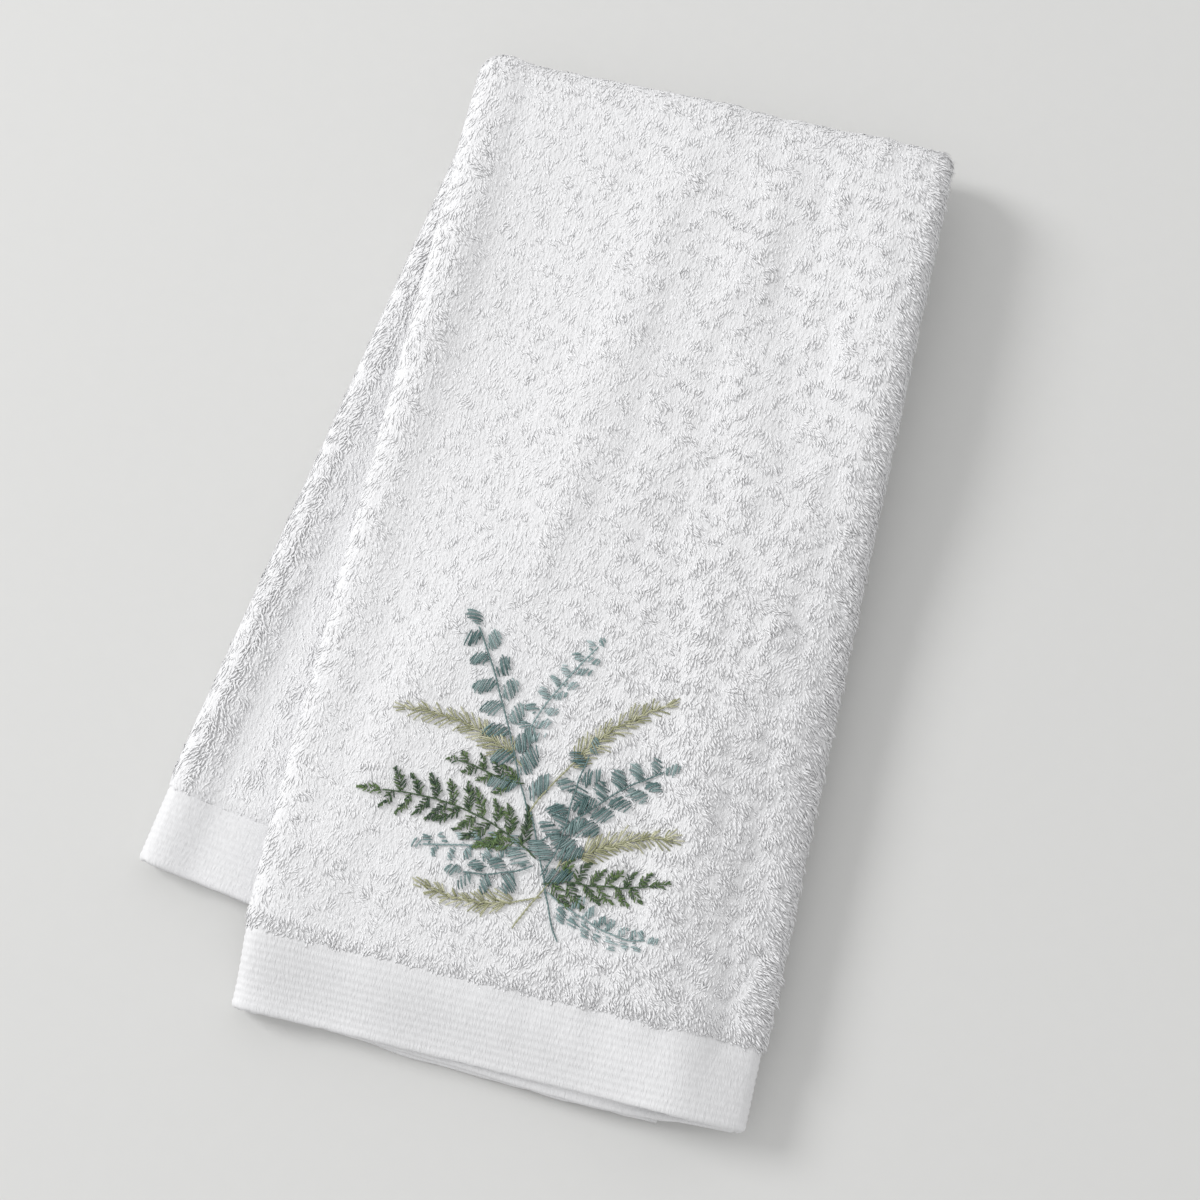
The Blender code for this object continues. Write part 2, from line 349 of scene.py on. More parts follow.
def across_fold(s):
    """Where a line of the cloth lies across the fold, and its layer counted from the top."""
    left_turn = (s - LEFT_ROLL_START) / LEFT_ROLL
    right_turn = (s - PANEL_END) / RIGHT_ROLL
    stretch = [s < LEFT_ROLL_START, s < PANEL_START, s < PANEL_END, s < RIGHT_ROLL_END]
    x = np.select(
        stretch,
        [
            LEFT_THIRD_END - s,
            PANEL_LEFT - LEFT_ROLL * np.sin(left_turn),
            PANEL_LEFT + s - PANEL_START,
            PANEL_RIGHT + RIGHT_ROLL * np.sin(right_turn),
        ],
        PANEL_RIGHT - (s - RIGHT_ROLL_END),
    )
    layer = np.select(
        stretch,
        [2.0 + 0 * s, 1.0 + np.cos(left_turn), 0 * s, (1.0 - np.cos(right_turn)) / 2],
        1.0,
    )
    return x, layer


def pitch_at(to_hem):
    """Distance from one layer's middle to the next one's."""
    return mix(HEM_PITCH, PILE_PITCH, soft_step(to_hem / HEM_DEPTH))


def distance_inside(x, y, start, end):
    """Distance of a point from the line through start and end, positive on its left."""
    run = (end[0] - start[0], end[1] - start[1])
    return (run[0] * (y - start[1]) - run[1] * (x - start[0])) / math.hypot(*run)


def support_under_front(x, y):
    """Height of what the front half lies on: the rear half, and past its edges less."""
    past_hem = distance_inside(x, y, REAR_HEM_LEFT, REAR_HEM_RIGHT)
    past_side = distance_inside(x, y, REAR_HEM_RIGHT, (PANEL_WIDTH / 2, BEND_Y))
    on_pile = soft_step((past_hem + PILE_EDGE) / HEM_DEPTH)
    height = mix(3 * HEM_PITCH, 3 * PILE_PITCH, on_pile)
    near_bend = soft_step(1.0 - (BEND_Y - y) / BEND_SETTLE_REACH)
    height = mix(height, BEND_SUPPORT, near_bend)
    height *= 1.0 - soft_step(-past_hem / HEM_FALL_REACH)
    return height * (1.0 - SIDE_SAG * soft_step(-past_side / SIDE_SAG_REACH))


def crease_height(creases, x, y):
    total = 0.0
    for crease in creases:
        lean = math.radians(crease.lean)
        right, up = x - crease.x, y - crease.y
        across = (right * math.cos(lean) + up * math.sin(lean)) / crease.across
        along = (up * math.cos(lean) - right * math.sin(lean)) / crease.along
        total = total + crease.height * np.exp(-across * across - along * along)
    return total


def pucker_height(x, y):
    """Small uneven hollows and swells, more of them towards the panel's right side."""
    grown = soft_step((x - PUCKERS_GROW_FROM) / PUCKERS_GROW_OVER)
    share = mix(PUCKERS_AT_LEFT, 1.0, grown)
    share = share * soft_step((PANEL_RIGHT - x) / PUCKERS_FADE_OVER)
    share = share * soft_step(y / HEM_DEPTH)
    swell = soft_noise(x, y / 2, PUCKER_WAVE, PUCKER_SEED)
    fine = soft_noise(x, y / 1.6, FINE_PUCKER_WAVE, FINE_PUCKER_SEED)
    return PUCKER_HEIGHT * share * (swell + 0.5 * fine)


def gap_trough(x, left, right):
    """A soft dip between two places, 1 at its middle."""
    return np.sin(math.pi * np.clip((x - left) / (right - left), 0.0, 1.0)) ** 2


def right_opening(x):
    return RIGHT_OPENING * soft_step(1.0 - (PANEL_RIGHT - x) / RIGHT_OPENING_REACH)


def depth_in_front(x, layer, y, pitch):
    """Depth under the panel's plain level, with the panel's troughs and ridges."""
    top_share = np.clip(1.0 - layer, 0.0, 1.0)
    upper_share = np.clip(2.0 - layer, 0.0, 1.0)
    low_share = soft_step((y - LEFT_TROUGH_LOW) / (LEFT_TROUGH_HIGH - LEFT_TROUGH_LOW))
    trough = LEFT_TROUGH * mix(LEFT_TROUGH_BELOW, 1.0, low_share)
    trough = trough * gap_trough(x, PANEL_LEFT, RIGHT_THIRD_END) * top_share
    sag = mix(RIGHT_TROUGH, RIGHT_TROUGH_AT_BEND, soft_step(y / BEND_Y))
    sag = sag * soft_step(y / HEM_DEPTH)
    sag = sag * soft_step((x - LEFT_THIRD_END) / RIGHT_TROUGH_REACH) * upper_share
    raised = crease_height(MAIN_CREASES + FINE_CREASES, x, y) + right_opening(x)
    raised = raised + pucker_height(x, y)
    return layer * pitch + trough + sag - raised * top_share


def slip_of(x, layer, y):
    """How far an under layer's hem slips out past the panel's."""
    out = np.zeros(np.broadcast(x, y).shape)
    for number in (1, 2):
        steps = [slip for slip in SLIPS if slip.layer == number]
        share = np.clip(1.0 - np.abs(layer - number), 0.0, 1.0)
        for low, high in zip(steps, steps[1:]):
            inside = (x >= low.x) & (x < high.x)
            reach = mix(low.out, high.out, soft_step((x - low.x) / (high.x - low.x)))
            out = out + np.where(inside, reach * share, 0.0)
    return out * (1.0 - soft_step(y / SLIP_FADE))


def depth_in_rear(x, layer, pitch):
    dip = REAR_TROUGH * gap_trough(x, PANEL_LEFT, RIGHT_THIRD_END)
    raised = right_opening(x) * np.clip(1.0 - np.abs(layer - 1.0), 0.0, 1.0)
    return layer * pitch + raised - dip * np.clip(layer - 1.0, 0.0, 1.0)


def place_in_front(x, layer, place):
    y = place - slip_of(x, layer, place)
    pitch = pitch_at(y)
    rest = mix(HEM_THICKNESS, PILE_THICKNESS, soft_step(y / HEM_DEPTH)) / 2
    depth = depth_in_front(x, layer, y, pitch)
    return x, y, support_under_front(x, y) + rest + 2 * pitch - depth


def place_in_bend(x, layer, angle):
    """The front's section turns over about an axis across the towel."""
    front_depth = depth_in_front(x, layer, BEND_Y, PILE_PITCH)
    rear_depth = depth_in_rear(x, layer, PILE_PITCH)
    radius = BEND_RADIUS - mix(front_depth, rear_depth, soft_step(angle / math.pi))
    z = PILE_THICKNESS / 2 + BEND_RADIUS + radius * np.cos(angle)
    return x, BEND_Y + radius * np.sin(angle), z


def place_in_rear(x, layer, place):
    """A four-cornered sheet between the bend and the turned rear hem, panel side down."""
    inset = PILE_THICKNESS / 2
    across = x / MIDDLE_WIDTH + 0.5
    along = place / REAR_LENGTH
    to_hem = REAR_LENGTH - place
    left = mix(-MIDDLE_WIDTH / 2, REAR_HEM_LEFT[0] + inset, along)
    right = mix(MIDDLE_WIDTH / 2, REAR_HEM_RIGHT[0] - inset, along)
    left_y = mix(BEND_Y, REAR_HEM_LEFT[1], along)
    right_y = mix(BEND_Y, REAR_HEM_RIGHT[1], along)
    on_pile = np.clip((to_hem - HEM_DEPTH) / PILE_EDGE, 0.0, 1.0)
    rest = mix(HEM_THICKNESS, PILE_THICKNESS, on_pile) / 2
    z = rest + depth_in_rear(x, layer, pitch_at(to_hem))
    z = z + crease_height(REAR_CREASES, x, place) * np.clip(layer - 1.0, 0.0, 1.0)
    return mix(left, right, across), mix(left_y, right_y, across), z


def folded(s, t):
    """The middle of the cloth at flat places s across and t along it."""
    s, t = np.broadcast_arrays(np.asarray(s, float), np.asarray(t, float))
    x, layer = across_fold(s)
    angle = np.clip((t - BEND_Y) / BEND_RADIUS, 0.0, math.pi)
    front = place_in_front(x, layer, t)
    bend = place_in_bend(x, layer, angle)
    rear = place_in_rear(x, layer, t - BEND_END)
    halves = [t < BEND_Y, t < BEND_END]
    place = [np.select(halves, [a, b], c) for a, b, c in zip(front, bend, rear)]
    place[0] = place[0] - OUTLINE_MIDDLE[0]
    place[1] = place[1] - OUTLINE_MIDDLE[1]
    return np.stack(place, axis=-1)


def cloth_frame(s, t, step=0.0002):
    """Place, outward normal, and the directions across and along, at flat places."""
    place = folded(s, t)
    across = unit(folded(s + step, t) - folded(s - step, t))
    along = unit(folded(s, t + step) - folded(s, t - step))
    normal = unit(np.cross(across, along))
    return place, normal, across, along


def lines_of(stretches):
    """Flat places of the lines of vertices, from the stretches' sizes and steps."""
    places, start = [0.0], 0.0
    for stretch in stretches:
        steps = np.arange(1, stretch.steps + 1) / stretch.steps
        places.extend(start + stretch.size * steps)
        start += stretch.size
    return np.array(places)


def to_hem_of(t):
    """Distance of a flat place from the nearer end of the cloth."""
    return np.minimum(t, FOLDED_LENGTH - t)


def shows_outside(s, t, place):
    """1 where the outer face can be seen, and 0 where it lies between the layers."""
    turned = (s > LEFT_ROLL_START) & (s < RIGHT_ROLL_END)
    row_x = place[..., 0] + OUTLINE_MIDDLE[0]
    past_front = row_x < BARE_UNDER_FRONT - PANEL_WIDTH / 2
    rolls = ((s > LEFT_ROLL_START) & (s < PANEL_START)) | (
        (s > PANEL_END) & (s < RIGHT_ROLL_END)
    )
    return np.where(t < BEND_END, turned, rolls | ((s <= LEFT_ROLL_START) & past_front))


def make_piece(name, points, quads, tris, uv, materials, tint=None, kinds=None):
    """A mesh object at the origin from arrays, smooth, with its UV map and tint."""
    mesh = bpy.data.meshes.new(name)
    mesh.vertices.add(len(points))
    mesh.vertices.foreach_set("co", points.astype(np.float32).ravel())
    corners = np.concatenate([quads.ravel(), tris.ravel()]).astype(np.int32)
    counts = np.concatenate([np.full(len(quads), 4), np.full(len(tris), 3)])
    mesh.loops.add(len(corners))
    mesh.loops.foreach_set("vertex_index", corners)
    mesh.polygons.add(len(counts))
    starts = np.concatenate([[0], np.cumsum(counts)[:-1]]).astype(np.int32)
    mesh.polygons.foreach_set("loop_start", starts)
    for material in materials:
        mesh.materials.append(material)
    if kinds is not None:
        mesh.polygons.foreach_set("material_index", kinds.astype(np.int32))
    mesh.update(calc_edges=True)
    layer = mesh.uv_layers.new(name="cloth" if tint is None else "thread")
    layer.uv.foreach_set("vector", uv.astype(np.float32).ravel())
    if tint is not None:
        attribute = mesh.attributes.new("tint", "FLOAT", "POINT")
        attribute.data.foreach_set("value", tint.astype(np.float32))
    mesh.shade_smooth()
    if mesh.validate():
        raise RuntimeError(f"{name} has faces that aren't valid")
    piece = bpy.data.objects.new(name, mesh)
    bpy.context.scene.collection.objects.link(piece)
    return piece


def dress(piece):
    """Every piece rides on the one body."""
    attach(piece, "root")
    return piece


def tubes(centres, across, outward, radii, corners, lengths, tips=None):
    """Closed tubes, one along each row of centres, with a flat start and a flat or pointed
    end. Gives points, quads, triangles and a UV for each corner of them."""
    count, rings = radii.shape
    turn = np.arange(corners) * 2 * math.pi / corners + math.pi / 2
    spokes = across[:, :, None] * np.cos(turn)[:, None]
    spokes = spokes + outward[:, :, None] * np.sin(turn)[:, None]
    points = centres[:, :, None] + spokes * radii[:, :, None, None]
    points = points.reshape(count, rings * corners, 3)
    if tips is not None:
        points = np.concatenate([points, tips[:, None]], axis=1)
    each = points.shape[1]
    quads, quad_uv, tris, tri_uv = [], [], [], []
    for ring in range(rings - 1):
        for corner in range(corners):
            after = (corner + 1) % corners
            low, high = ring * corners, (ring + 1) * corners
            quads.append((low + corner, low + after, high + after, high + corner))
            left, right = corner / corners, (corner + 1) / corners
            quad_uv.append(((left, ring), (right, ring), (right, ring + 1), (left, ring + 1)))
    last = (rings - 1) * corners
    if tips is not None:
        for corner in range(corners):
            after = (corner + 1) % corners
            tris.append((last + corner, last + after, rings * corners))
            left, right = corner / corners, (corner + 1) / corners
            tri_uv.append(((left, rings - 1), (right, rings - 1), (left, rings - 1)))
    ends = [tuple(range(corners))[::-1]]
    if tips is None:
        ends.append(tuple(range(last, last + corners)))
    for end in ends:
        level = end[0] // corners
        flat = tuple((0.5, level) for _ in end)
        if corners == 4:
            quads.append(end)
            quad_uv.append(flat)
        else:
            tris.append(end)
            tri_uv.append(flat)
    starts = (np.arange(count) * each)[:, None, None]
    tris = np.array(tris).reshape(-1, 3)
    tri_uv = np.array(tri_uv, float).reshape(-1, 3, 2)
    uvs = []
    for pattern in (np.array(quad_uv, float), tri_uv):
        uv = np.broadcast_to(pattern, (count,) + pattern.shape).copy()
        level = np.clip(uv[..., 1].astype(int), 0, rings - 1)
        uv[..., 1] = lengths[np.arange(count)[:, None, None], level]
        uvs.append(uv.reshape(-1, 2))
    all_quads = (np.array(quads)[None] + starts).reshape(-1, 4)
    all_tris = (tris[None] + starts).reshape(-1, 3)
    return points.reshape(-1, 3), all_quads, all_tris, np.concatenate(uvs), each


def node_group(name, inputs, outputs):
    """An empty shader node group with named sockets, and its two end nodes."""
    group = bpy.data.node_groups.new(name, "ShaderNodeTree")
    for socket, kind, value in inputs:
        made = group.interface.new_socket(socket, in_out="INPUT", socket_type=kind)
        if value is not None:
            made.default_value = value
    for socket in outputs:
        group.interface.new_socket(socket, in_out="OUTPUT", socket_type="NodeSocketFloat")
    return group, group.nodes.new("NodeGroupInput"), group.nodes.new("NodeGroupOutput")


def feed(tree, socket, value):
    """Sets a socket to a number, or joins it to another node's output."""
    if isinstance(value, (int, float)):
        socket.default_value = value
    else:
        tree.links.new(value, socket)


def math_node(tree, operation, *values, clamp=False):
    node = tree.nodes.new("ShaderNodeMath")
    node.operation = operation
    node.use_clamp = clamp
    for socket, value in zip(node.inputs, values):
        feed(tree, socket, value)
    return node.outputs["Value"]


def fibre_group():
    """Fine cotton fibre: a shade and a height from noise of the given size."""
    group, start, end = node_group(
        "Cotton fibre",
        [("Vector", "NodeSocketVector", None), ("Fibre size", "NodeSocketFloat", 0.0004)],
        ["Shade", "Height"],
    )
    scale = math_node(group, "DIVIDE", 1.0, start.outputs["Fibre size"])
    noise = group.nodes.new("ShaderNodeTexNoise")
    noise.inputs["Detail"].default_value = 3.0
    noise.inputs["Roughness"].default_value = 0.6
    group.links.new(start.outputs["Vector"], noise.inputs["Vector"])
    group.links.new(scale, noise.inputs["Scale"])
    spread = math_node(group, "MULTIPLY_ADD", noise.outputs["Fac"], 1.6, -0.3, clamp=True)
    group.links.new(spread, end.inputs["Shade"])
    group.links.new(noise.outputs["Fac"], end.inputs["Height"])
    return group


def weave_group():
    """Woven threads on the flat cloth: rounded warp threads crossed by weft. The Shade output follows the
    warp ridges and paints shade into the grooves between them.
    """
    group, start, end = node_group(
        "Woven threads",
        [
            ("Vector", "NodeSocketVector", None),
            ("Warp spacing", "NodeSocketFloat", 0.0005),
            ("Weft spacing", "NodeSocketFloat", 0.0010),
        ],
        ["Height", "Shade"],
    )
    apart = group.nodes.new("ShaderNodeSeparateXYZ")
    group.links.new(start.outputs["Vector"], apart.inputs["Vector"])
    warp = math_node(group, "DIVIDE", apart.outputs["X"], start.outputs["Warp spacing"])
    weft = math_node(group, "DIVIDE", apart.outputs["Y"], start.outputs["Weft spacing"])
    warp_wave = math_node(group, "SINE", math_node(group, "MULTIPLY", warp, math.pi))
    weft_wave = math_node(group, "SINE", math_node(group, "MULTIPLY", weft, math.pi))
    ridge = math_node(group, "ABSOLUTE", warp_wave)
    over = math_node(group, "MULTIPLY", warp_wave, weft_wave)
    height = math_node(group, "ADD", ridge, math_node(group, "MULTIPLY", over, 0.35))
    group.links.new(height, end.inputs["Height"])
    # Shade is 0 in the grooves between warp threads: used as painted shade there
    group.links.new(ridge, end.inputs["Shade"])
    return group


def twist_group():
    """Plies that wind round a yarn, from its UV map: round it, and along it in metres."""
    group, start, end = node_group(
        "Twisted yarn",
        [
            ("Vector", "NodeSocketVector", None),
            ("Twist length", "NodeSocketFloat", 0.0012),
            ("Plies", "NodeSocketFloat", 2.0),
        ],
        ["Height"],
    )
    apart = group.nodes.new("ShaderNodeSeparateXYZ")
    group.links.new(start.outputs["Vector"], apart.inputs["Vector"])
    around = math_node(group, "MULTIPLY", apart.outputs["X"], start.outputs["Plies"])
    along = math_node(group, "DIVIDE", apart.outputs["Y"], start.outputs["Twist length"])
    turns = math_node(group, "MULTIPLY", math_node(group, "ADD", around, along), math.pi)
    ply = math_node(group, "ABSOLUTE", math_node(group, "SINE", turns))
    group.links.new(ply, end.inputs["Height"])
    return group


def place_group(tree, group, **values):
    node = tree.nodes.new("ShaderNodeGroup")
    node.node_tree = group
    for name, value in values.items():
        feed(tree, node.inputs[name.replace("_", " ")], value)
    return node


def colour_mix(tree, share, low, high):
    """A colour between two, by a value that changes over the surface."""
    node = tree.nodes.new("ShaderNodeMix")
    node.data_type = "RGBA"
    colours = [socket for socket in node.inputs if socket.type == "RGBA"]
    colours[0].default_value = (*low, 1.0)
    colours[1].default_value = (*high, 1.0)
    tree.links.new(share, node.inputs["Factor"])
    return next(socket for socket in node.outputs if socket.type == "RGBA")


def bump(tree, height, distance, strength=1.0, under=None):
    node = tree.nodes.new("ShaderNodeBump")
    node.inputs["Distance"].default_value = distance
    node.inputs["Strength"].default_value = strength
    tree.links.new(height, node.inputs["Height"])
    if under is not None:
        tree.links.new(under, node.inputs["Normal"])
    return node.outputs["Normal"]


def stretched(tree, places, shares):
    """Places multiplied along each axis, so that a pattern on them is drawn out."""
    node = tree.nodes.new("ShaderNodeVectorMath")
    node.operation = "MULTIPLY"
    node.inputs[1].default_value = shares
    tree.links.new(places, node.inputs[0])
    return node.outputs["Vector"]


def new_material(name, roughness, sheen=0.0, specular=0.5):
    """A material, its node tree, and the node that gives places on a piece."""
    material = bpy.data.materials.new(name)
    material.use_nodes = True
    tree = material.node_tree
    shader = tree.nodes["Principled BSDF"]
    shader.inputs["Roughness"].default_value = roughness
    shader.inputs["Sheen Weight"].default_value = sheen
    shader.inputs["Specular IOR Level"].default_value = specular
    return material, tree, tree.nodes.new("ShaderNodeTexCoord")


def finished(material, tone, normal):
    """The material, with its colour and its bumps joined to its shader."""
    tree = material.node_tree
    shader = tree.nodes["Principled BSDF"]
    tree.links.new(tone, shader.inputs["Base Color"])
    tree.links.new(normal, shader.inputs["Normal"])
    return material


def toned(colour, share):
    """A darker colour, or with a share above 1 a lighter one."""
    return tuple(channel * share for channel in colour)


def blend(tree, first, second, share):
    """The first value's share, and the second one's rest."""
    first = math_node(tree, "MULTIPLY", first, share)
    return math_node(tree, "ADD", first, math_node(tree, "MULTIPLY", second, 1.0 - share))


def tint_of(tree):
    """The lightness that each loop or stitch carries in its mesh."""
    node = tree.nodes.new("ShaderNodeAttribute")
    node.attribute_name = "tint"
    return node.outputs["Fac"]


def ground_material(colour, fibre):
    """The cloth between the loops and on the hidden faces, lumpy with pile, kept darker than the loops as
    painted shade between them.
    """
    material, tree, places = new_material("terry ground", 0.95, specular=0.3)
    drawn_out = stretched(tree, places.outputs["Object"], PILE_GRAIN_STRETCH)
    lumps = place_group(tree, fibre, Vector=drawn_out, Fibre_size=0.0012)
    grain = place_group(tree, fibre, Vector=drawn_out, Fibre_size=0.0006)
    shade = math_node(tree, "MULTIPLY", lumps.outputs["Shade"], grain.outputs["Shade"])
    # The colour stays at or below the cotton colour and under the loops' lighter tone: painted shade
    # between the loops
    tone = colour_mix(tree, shade, toned(colour, 0.97), colour)
    normal = bump(tree, lumps.outputs["Height"], 0.0007)
    normal = bump(tree, grain.outputs["Height"], 0.00030, 0.6, normal)
    return finished(material, tone, normal)


def hem_material(colour, fibre, weave):
    """Smooth cotton hem, its threads running along the cloth."""
    material, tree, places = new_material("woven hem", 0.75, sheen=0.15)
    flat = places.outputs["UV"]
    threads = place_group(tree, weave, Vector=flat, Warp_spacing=0.00046, Weft_spacing=0.0020)
    drawn_out = stretched(tree, flat, HEM_GRAIN_STRETCH)
    grain = place_group(tree, fibre, Vector=drawn_out, Fibre_size=0.0007)
    # A quarter of the hem's darkening follows the warp ridges as painted shade in the grooves between
    # threads; the rest is the fibre's random tone
    shade = blend(tree, threads.outputs["Shade"], grain.outputs["Shade"], 0.25)
    tone = colour_mix(tree, shade, toned(colour, 0.82), colour)
    normal = bump(tree, threads.outputs["Height"], 0.00004, 0.6)
    normal = bump(tree, grain.outputs["Height"], 0.00032, 1.0, normal)
    return finished(material, tone, normal)


def loop_material(colour, fibre, twist):
    """Soft cotton yarn of the pile, each loop a little lighter or darker, and all painted lighter than the
    ground as light falling on them.
    """
    material, tree, places = new_material("terry loops", 0.85, specular=0.3)
    plies = place_group(tree, twist, Vector=places.outputs["UV"], Twist_length=0.0011, Plies=2.0)
    drawn_out = stretched(tree, places.outputs["Object"], PILE_GRAIN_STRETCH)
    grain = place_group(tree, fibre, Vector=drawn_out, Fibre_size=0.0006)
    shade = blend(tree, grain.outputs["Shade"], tint_of(tree), 0.5)
    # The loops are painted 1 to 7 percent lighter than the cotton of the ground: painted light on the
    # loops
    tone = colour_mix(tree, shade, toned(colour, 1.01), toned(colour, 1.07))
    normal = bump(tree, plies.outputs["Height"], 0.00008, 0.2)
    normal = bump(tree, grain.outputs["Height"], 0.00016, 0.4, normal)
    return finished(material, tone, normal)


def thread_material(name, dark, light, fibre, twist):
    """Shiny embroidery thread of two plies, from a dark to a light shade of its colour."""
    material, tree, places = new_material(name + " thread", 0.36, sheen=0.1, specular=0.55)
    plies = place_group(tree, twist, Vector=places.outputs["UV"], Twist_length=0.0009, Plies=2.0)
    grain = place_group(tree, fibre, Vector=places.outputs["Object"], Fibre_size=0.0004)
    shade = blend(tree, grain.outputs["Shade"], tint_of(tree), 0.25)
    tone = colour_mix(tree, shade, dark, light)
    normal = bump(tree, plies.outputs["Height"], 0.00006, 0.7)
    return finished(material, tone, normal)


def floor_material(colour, fibre):
    """Pale matt table with a faint unevenness."""
    material, tree, places = new_material("pale table", 0.8)
    grain = place_group(tree, fibre, Vector=places.outputs["Object"], Fibre_size=0.006)
    tone = colour_mix(tree, grain.outputs["Shade"], toned(colour, 0.985), colour)
    return finished(material, tone, bump(tree, grain.outputs["Height"], 0.0001, 0.2))


def shared_group(name, make):
    """The node group of this name, made when it is first asked for."""
    return bpy.data.node_groups.get(name) or make()


def fibre_of_all():
    return shared_group("Cotton fibre", fibre_group)


def twist_of_all():
    return shared_group("Twisted yarn", twist_group)


def ground_half(t):
    """Half of the cloth's thickness between the loops, less next to the hem."""
    risen = soft_step((to_hem_of(t) - HEM_DEPTH) / GROUND_RISES_OVER)
    return mix(HALF_GROUND_AT_HEM, HALF_GROUND, risen)


def rib_height(t, pitch, height):
    """Fine ribs that run across the hem, level at its two edges."""
    to_hem = to_hem_of(t)
    ribs = 0.5 - 0.5 * np.cos(2 * math.pi * to_hem / pitch)
    edges = soft_step(to_hem / RIB_EDGE) * soft_step((HEM_DEPTH - to_hem) / RIB_EDGE)
    return height * ribs * edges


def cloth_piece(towel):
    """The whole cloth as one closed sheet, thin under the loops and in the hems."""
    s_lines, t_lines = lines_of(ACROSS), lines_of(ALONG)
    s, t = np.meshgrid(s_lines, t_lines, indexing="ij")
    place, normal, _, along = cloth_frame(s, t)
    pile = soft_step((to_hem_of(t) - HEM_DEPTH) / PILE_EDGE)
    shown = shows_outside(s, t, place).astype(float)
    unevenness = UNEVEN_HEIGHT * soft_noise(s, t, UNEVEN_WAVE, CLOTH_SEED) * pile
    ribs = rib_height(t, towel.rib_pitch, towel.rib_height)
    hidden_half = mix(HALF_HEM, HALF_INNER_PILE, pile)
    outer = mix(hidden_half, mix(HALF_HEM, ground_half(t), pile), shown)
    outer = outer + unevenness + ribs
    inner = hidden_half + unevenness + ribs
    top = place + normal * outer[..., None]
    under = place - normal * inner[..., None]
    ragged = HEM_END_RAGGEDNESS * soft_noise(s_lines, 0.0, HEM_END_WAVE, HEM_END_SEED)
    ragged = HEM_END_ROUNDING * (1.0 + ragged)
    front_end = place[:, 0] - along[:, 0] * ragged[:, None]
    rear_end = place[:, -1] + along[:, -1] * ragged[:, None]
    ring = np.concatenate([top, rear_end[:, None], under[:, ::-1], front_end[:, None]], axis=1)
    flat_t = np.concatenate([t_lines, t_lines[-1:], t_lines[::-1], t_lines[:1]])
    columns, rows = ring.shape[:2]
    number = np.arange(columns * rows).reshape(columns, rows)
    after = np.roll(number, -1, axis=1)
    quads = np.stack([number[:-1], number[1:], after[1:], after[:-1]], axis=-1).reshape(-1, 4)
    quad_t = np.broadcast_to(flat_t, (columns - 1, rows)).ravel()
    next_t = np.broadcast_to(np.roll(flat_t, -1), (columns - 1, rows)).ravel()
    low_s, high_s = np.repeat(s_lines[:-1], rows), np.repeat(s_lines[1:], rows)
    uv = np.stack([low_s, quad_t, high_s, quad_t, high_s, next_t, low_s, next_t], axis=-1)
    last = len(t_lines)
    sides, side_uv, tris, tri_uv = [], [], [], []
    for column, s_edge in ((0, s_lines[0]), (columns - 1, s_lines[-1])):
        line = number[column]
        for row in range(last - 1):
            pair = (line[row], line[row + 1], line[2 * last - row - 1], line[2 * last - row])
            sides.append(pair if column == 0 else pair[::-1])
            side_uv.append((s_edge, t_lines[row]) * 4)
        for end in ((line[last - 1], line[last], line[last + 1]), (line[-2], line[-1], line[0])):
            tris.append(end if column == 0 else end[::-1])
            tri_uv.append((s_edge, 0.0) * 3)
    quads = np.concatenate([quads, np.array(sides)])
    uv = np.concatenate([uv, np.array(side_uv)])
    uv = np.concatenate([uv.reshape(-1, 2), np.array(tri_uv).reshape(-1, 2)])
    fibre = fibre_of_all()
    weave = shared_group("Woven threads", weave_group)
    cotton = tuple(towel.cotton_colour)
    materials = [ground_material(cotton, fibre), hem_material(cotton, fibre, weave)]
    quad_to_hem = to_hem_of(np.concatenate([quad_t, np.array(side_uv)[:, 1]]))
    kinds = np.concatenate([quad_to_hem < HEM_DEPTH - 0.0001, np.ones(len(tris), bool)])
    points = ring.reshape(-1, 3)
    return make_piece(
        "towel_cloth", points, quads, np.array(tris), uv, materials, kinds=kinds
    )


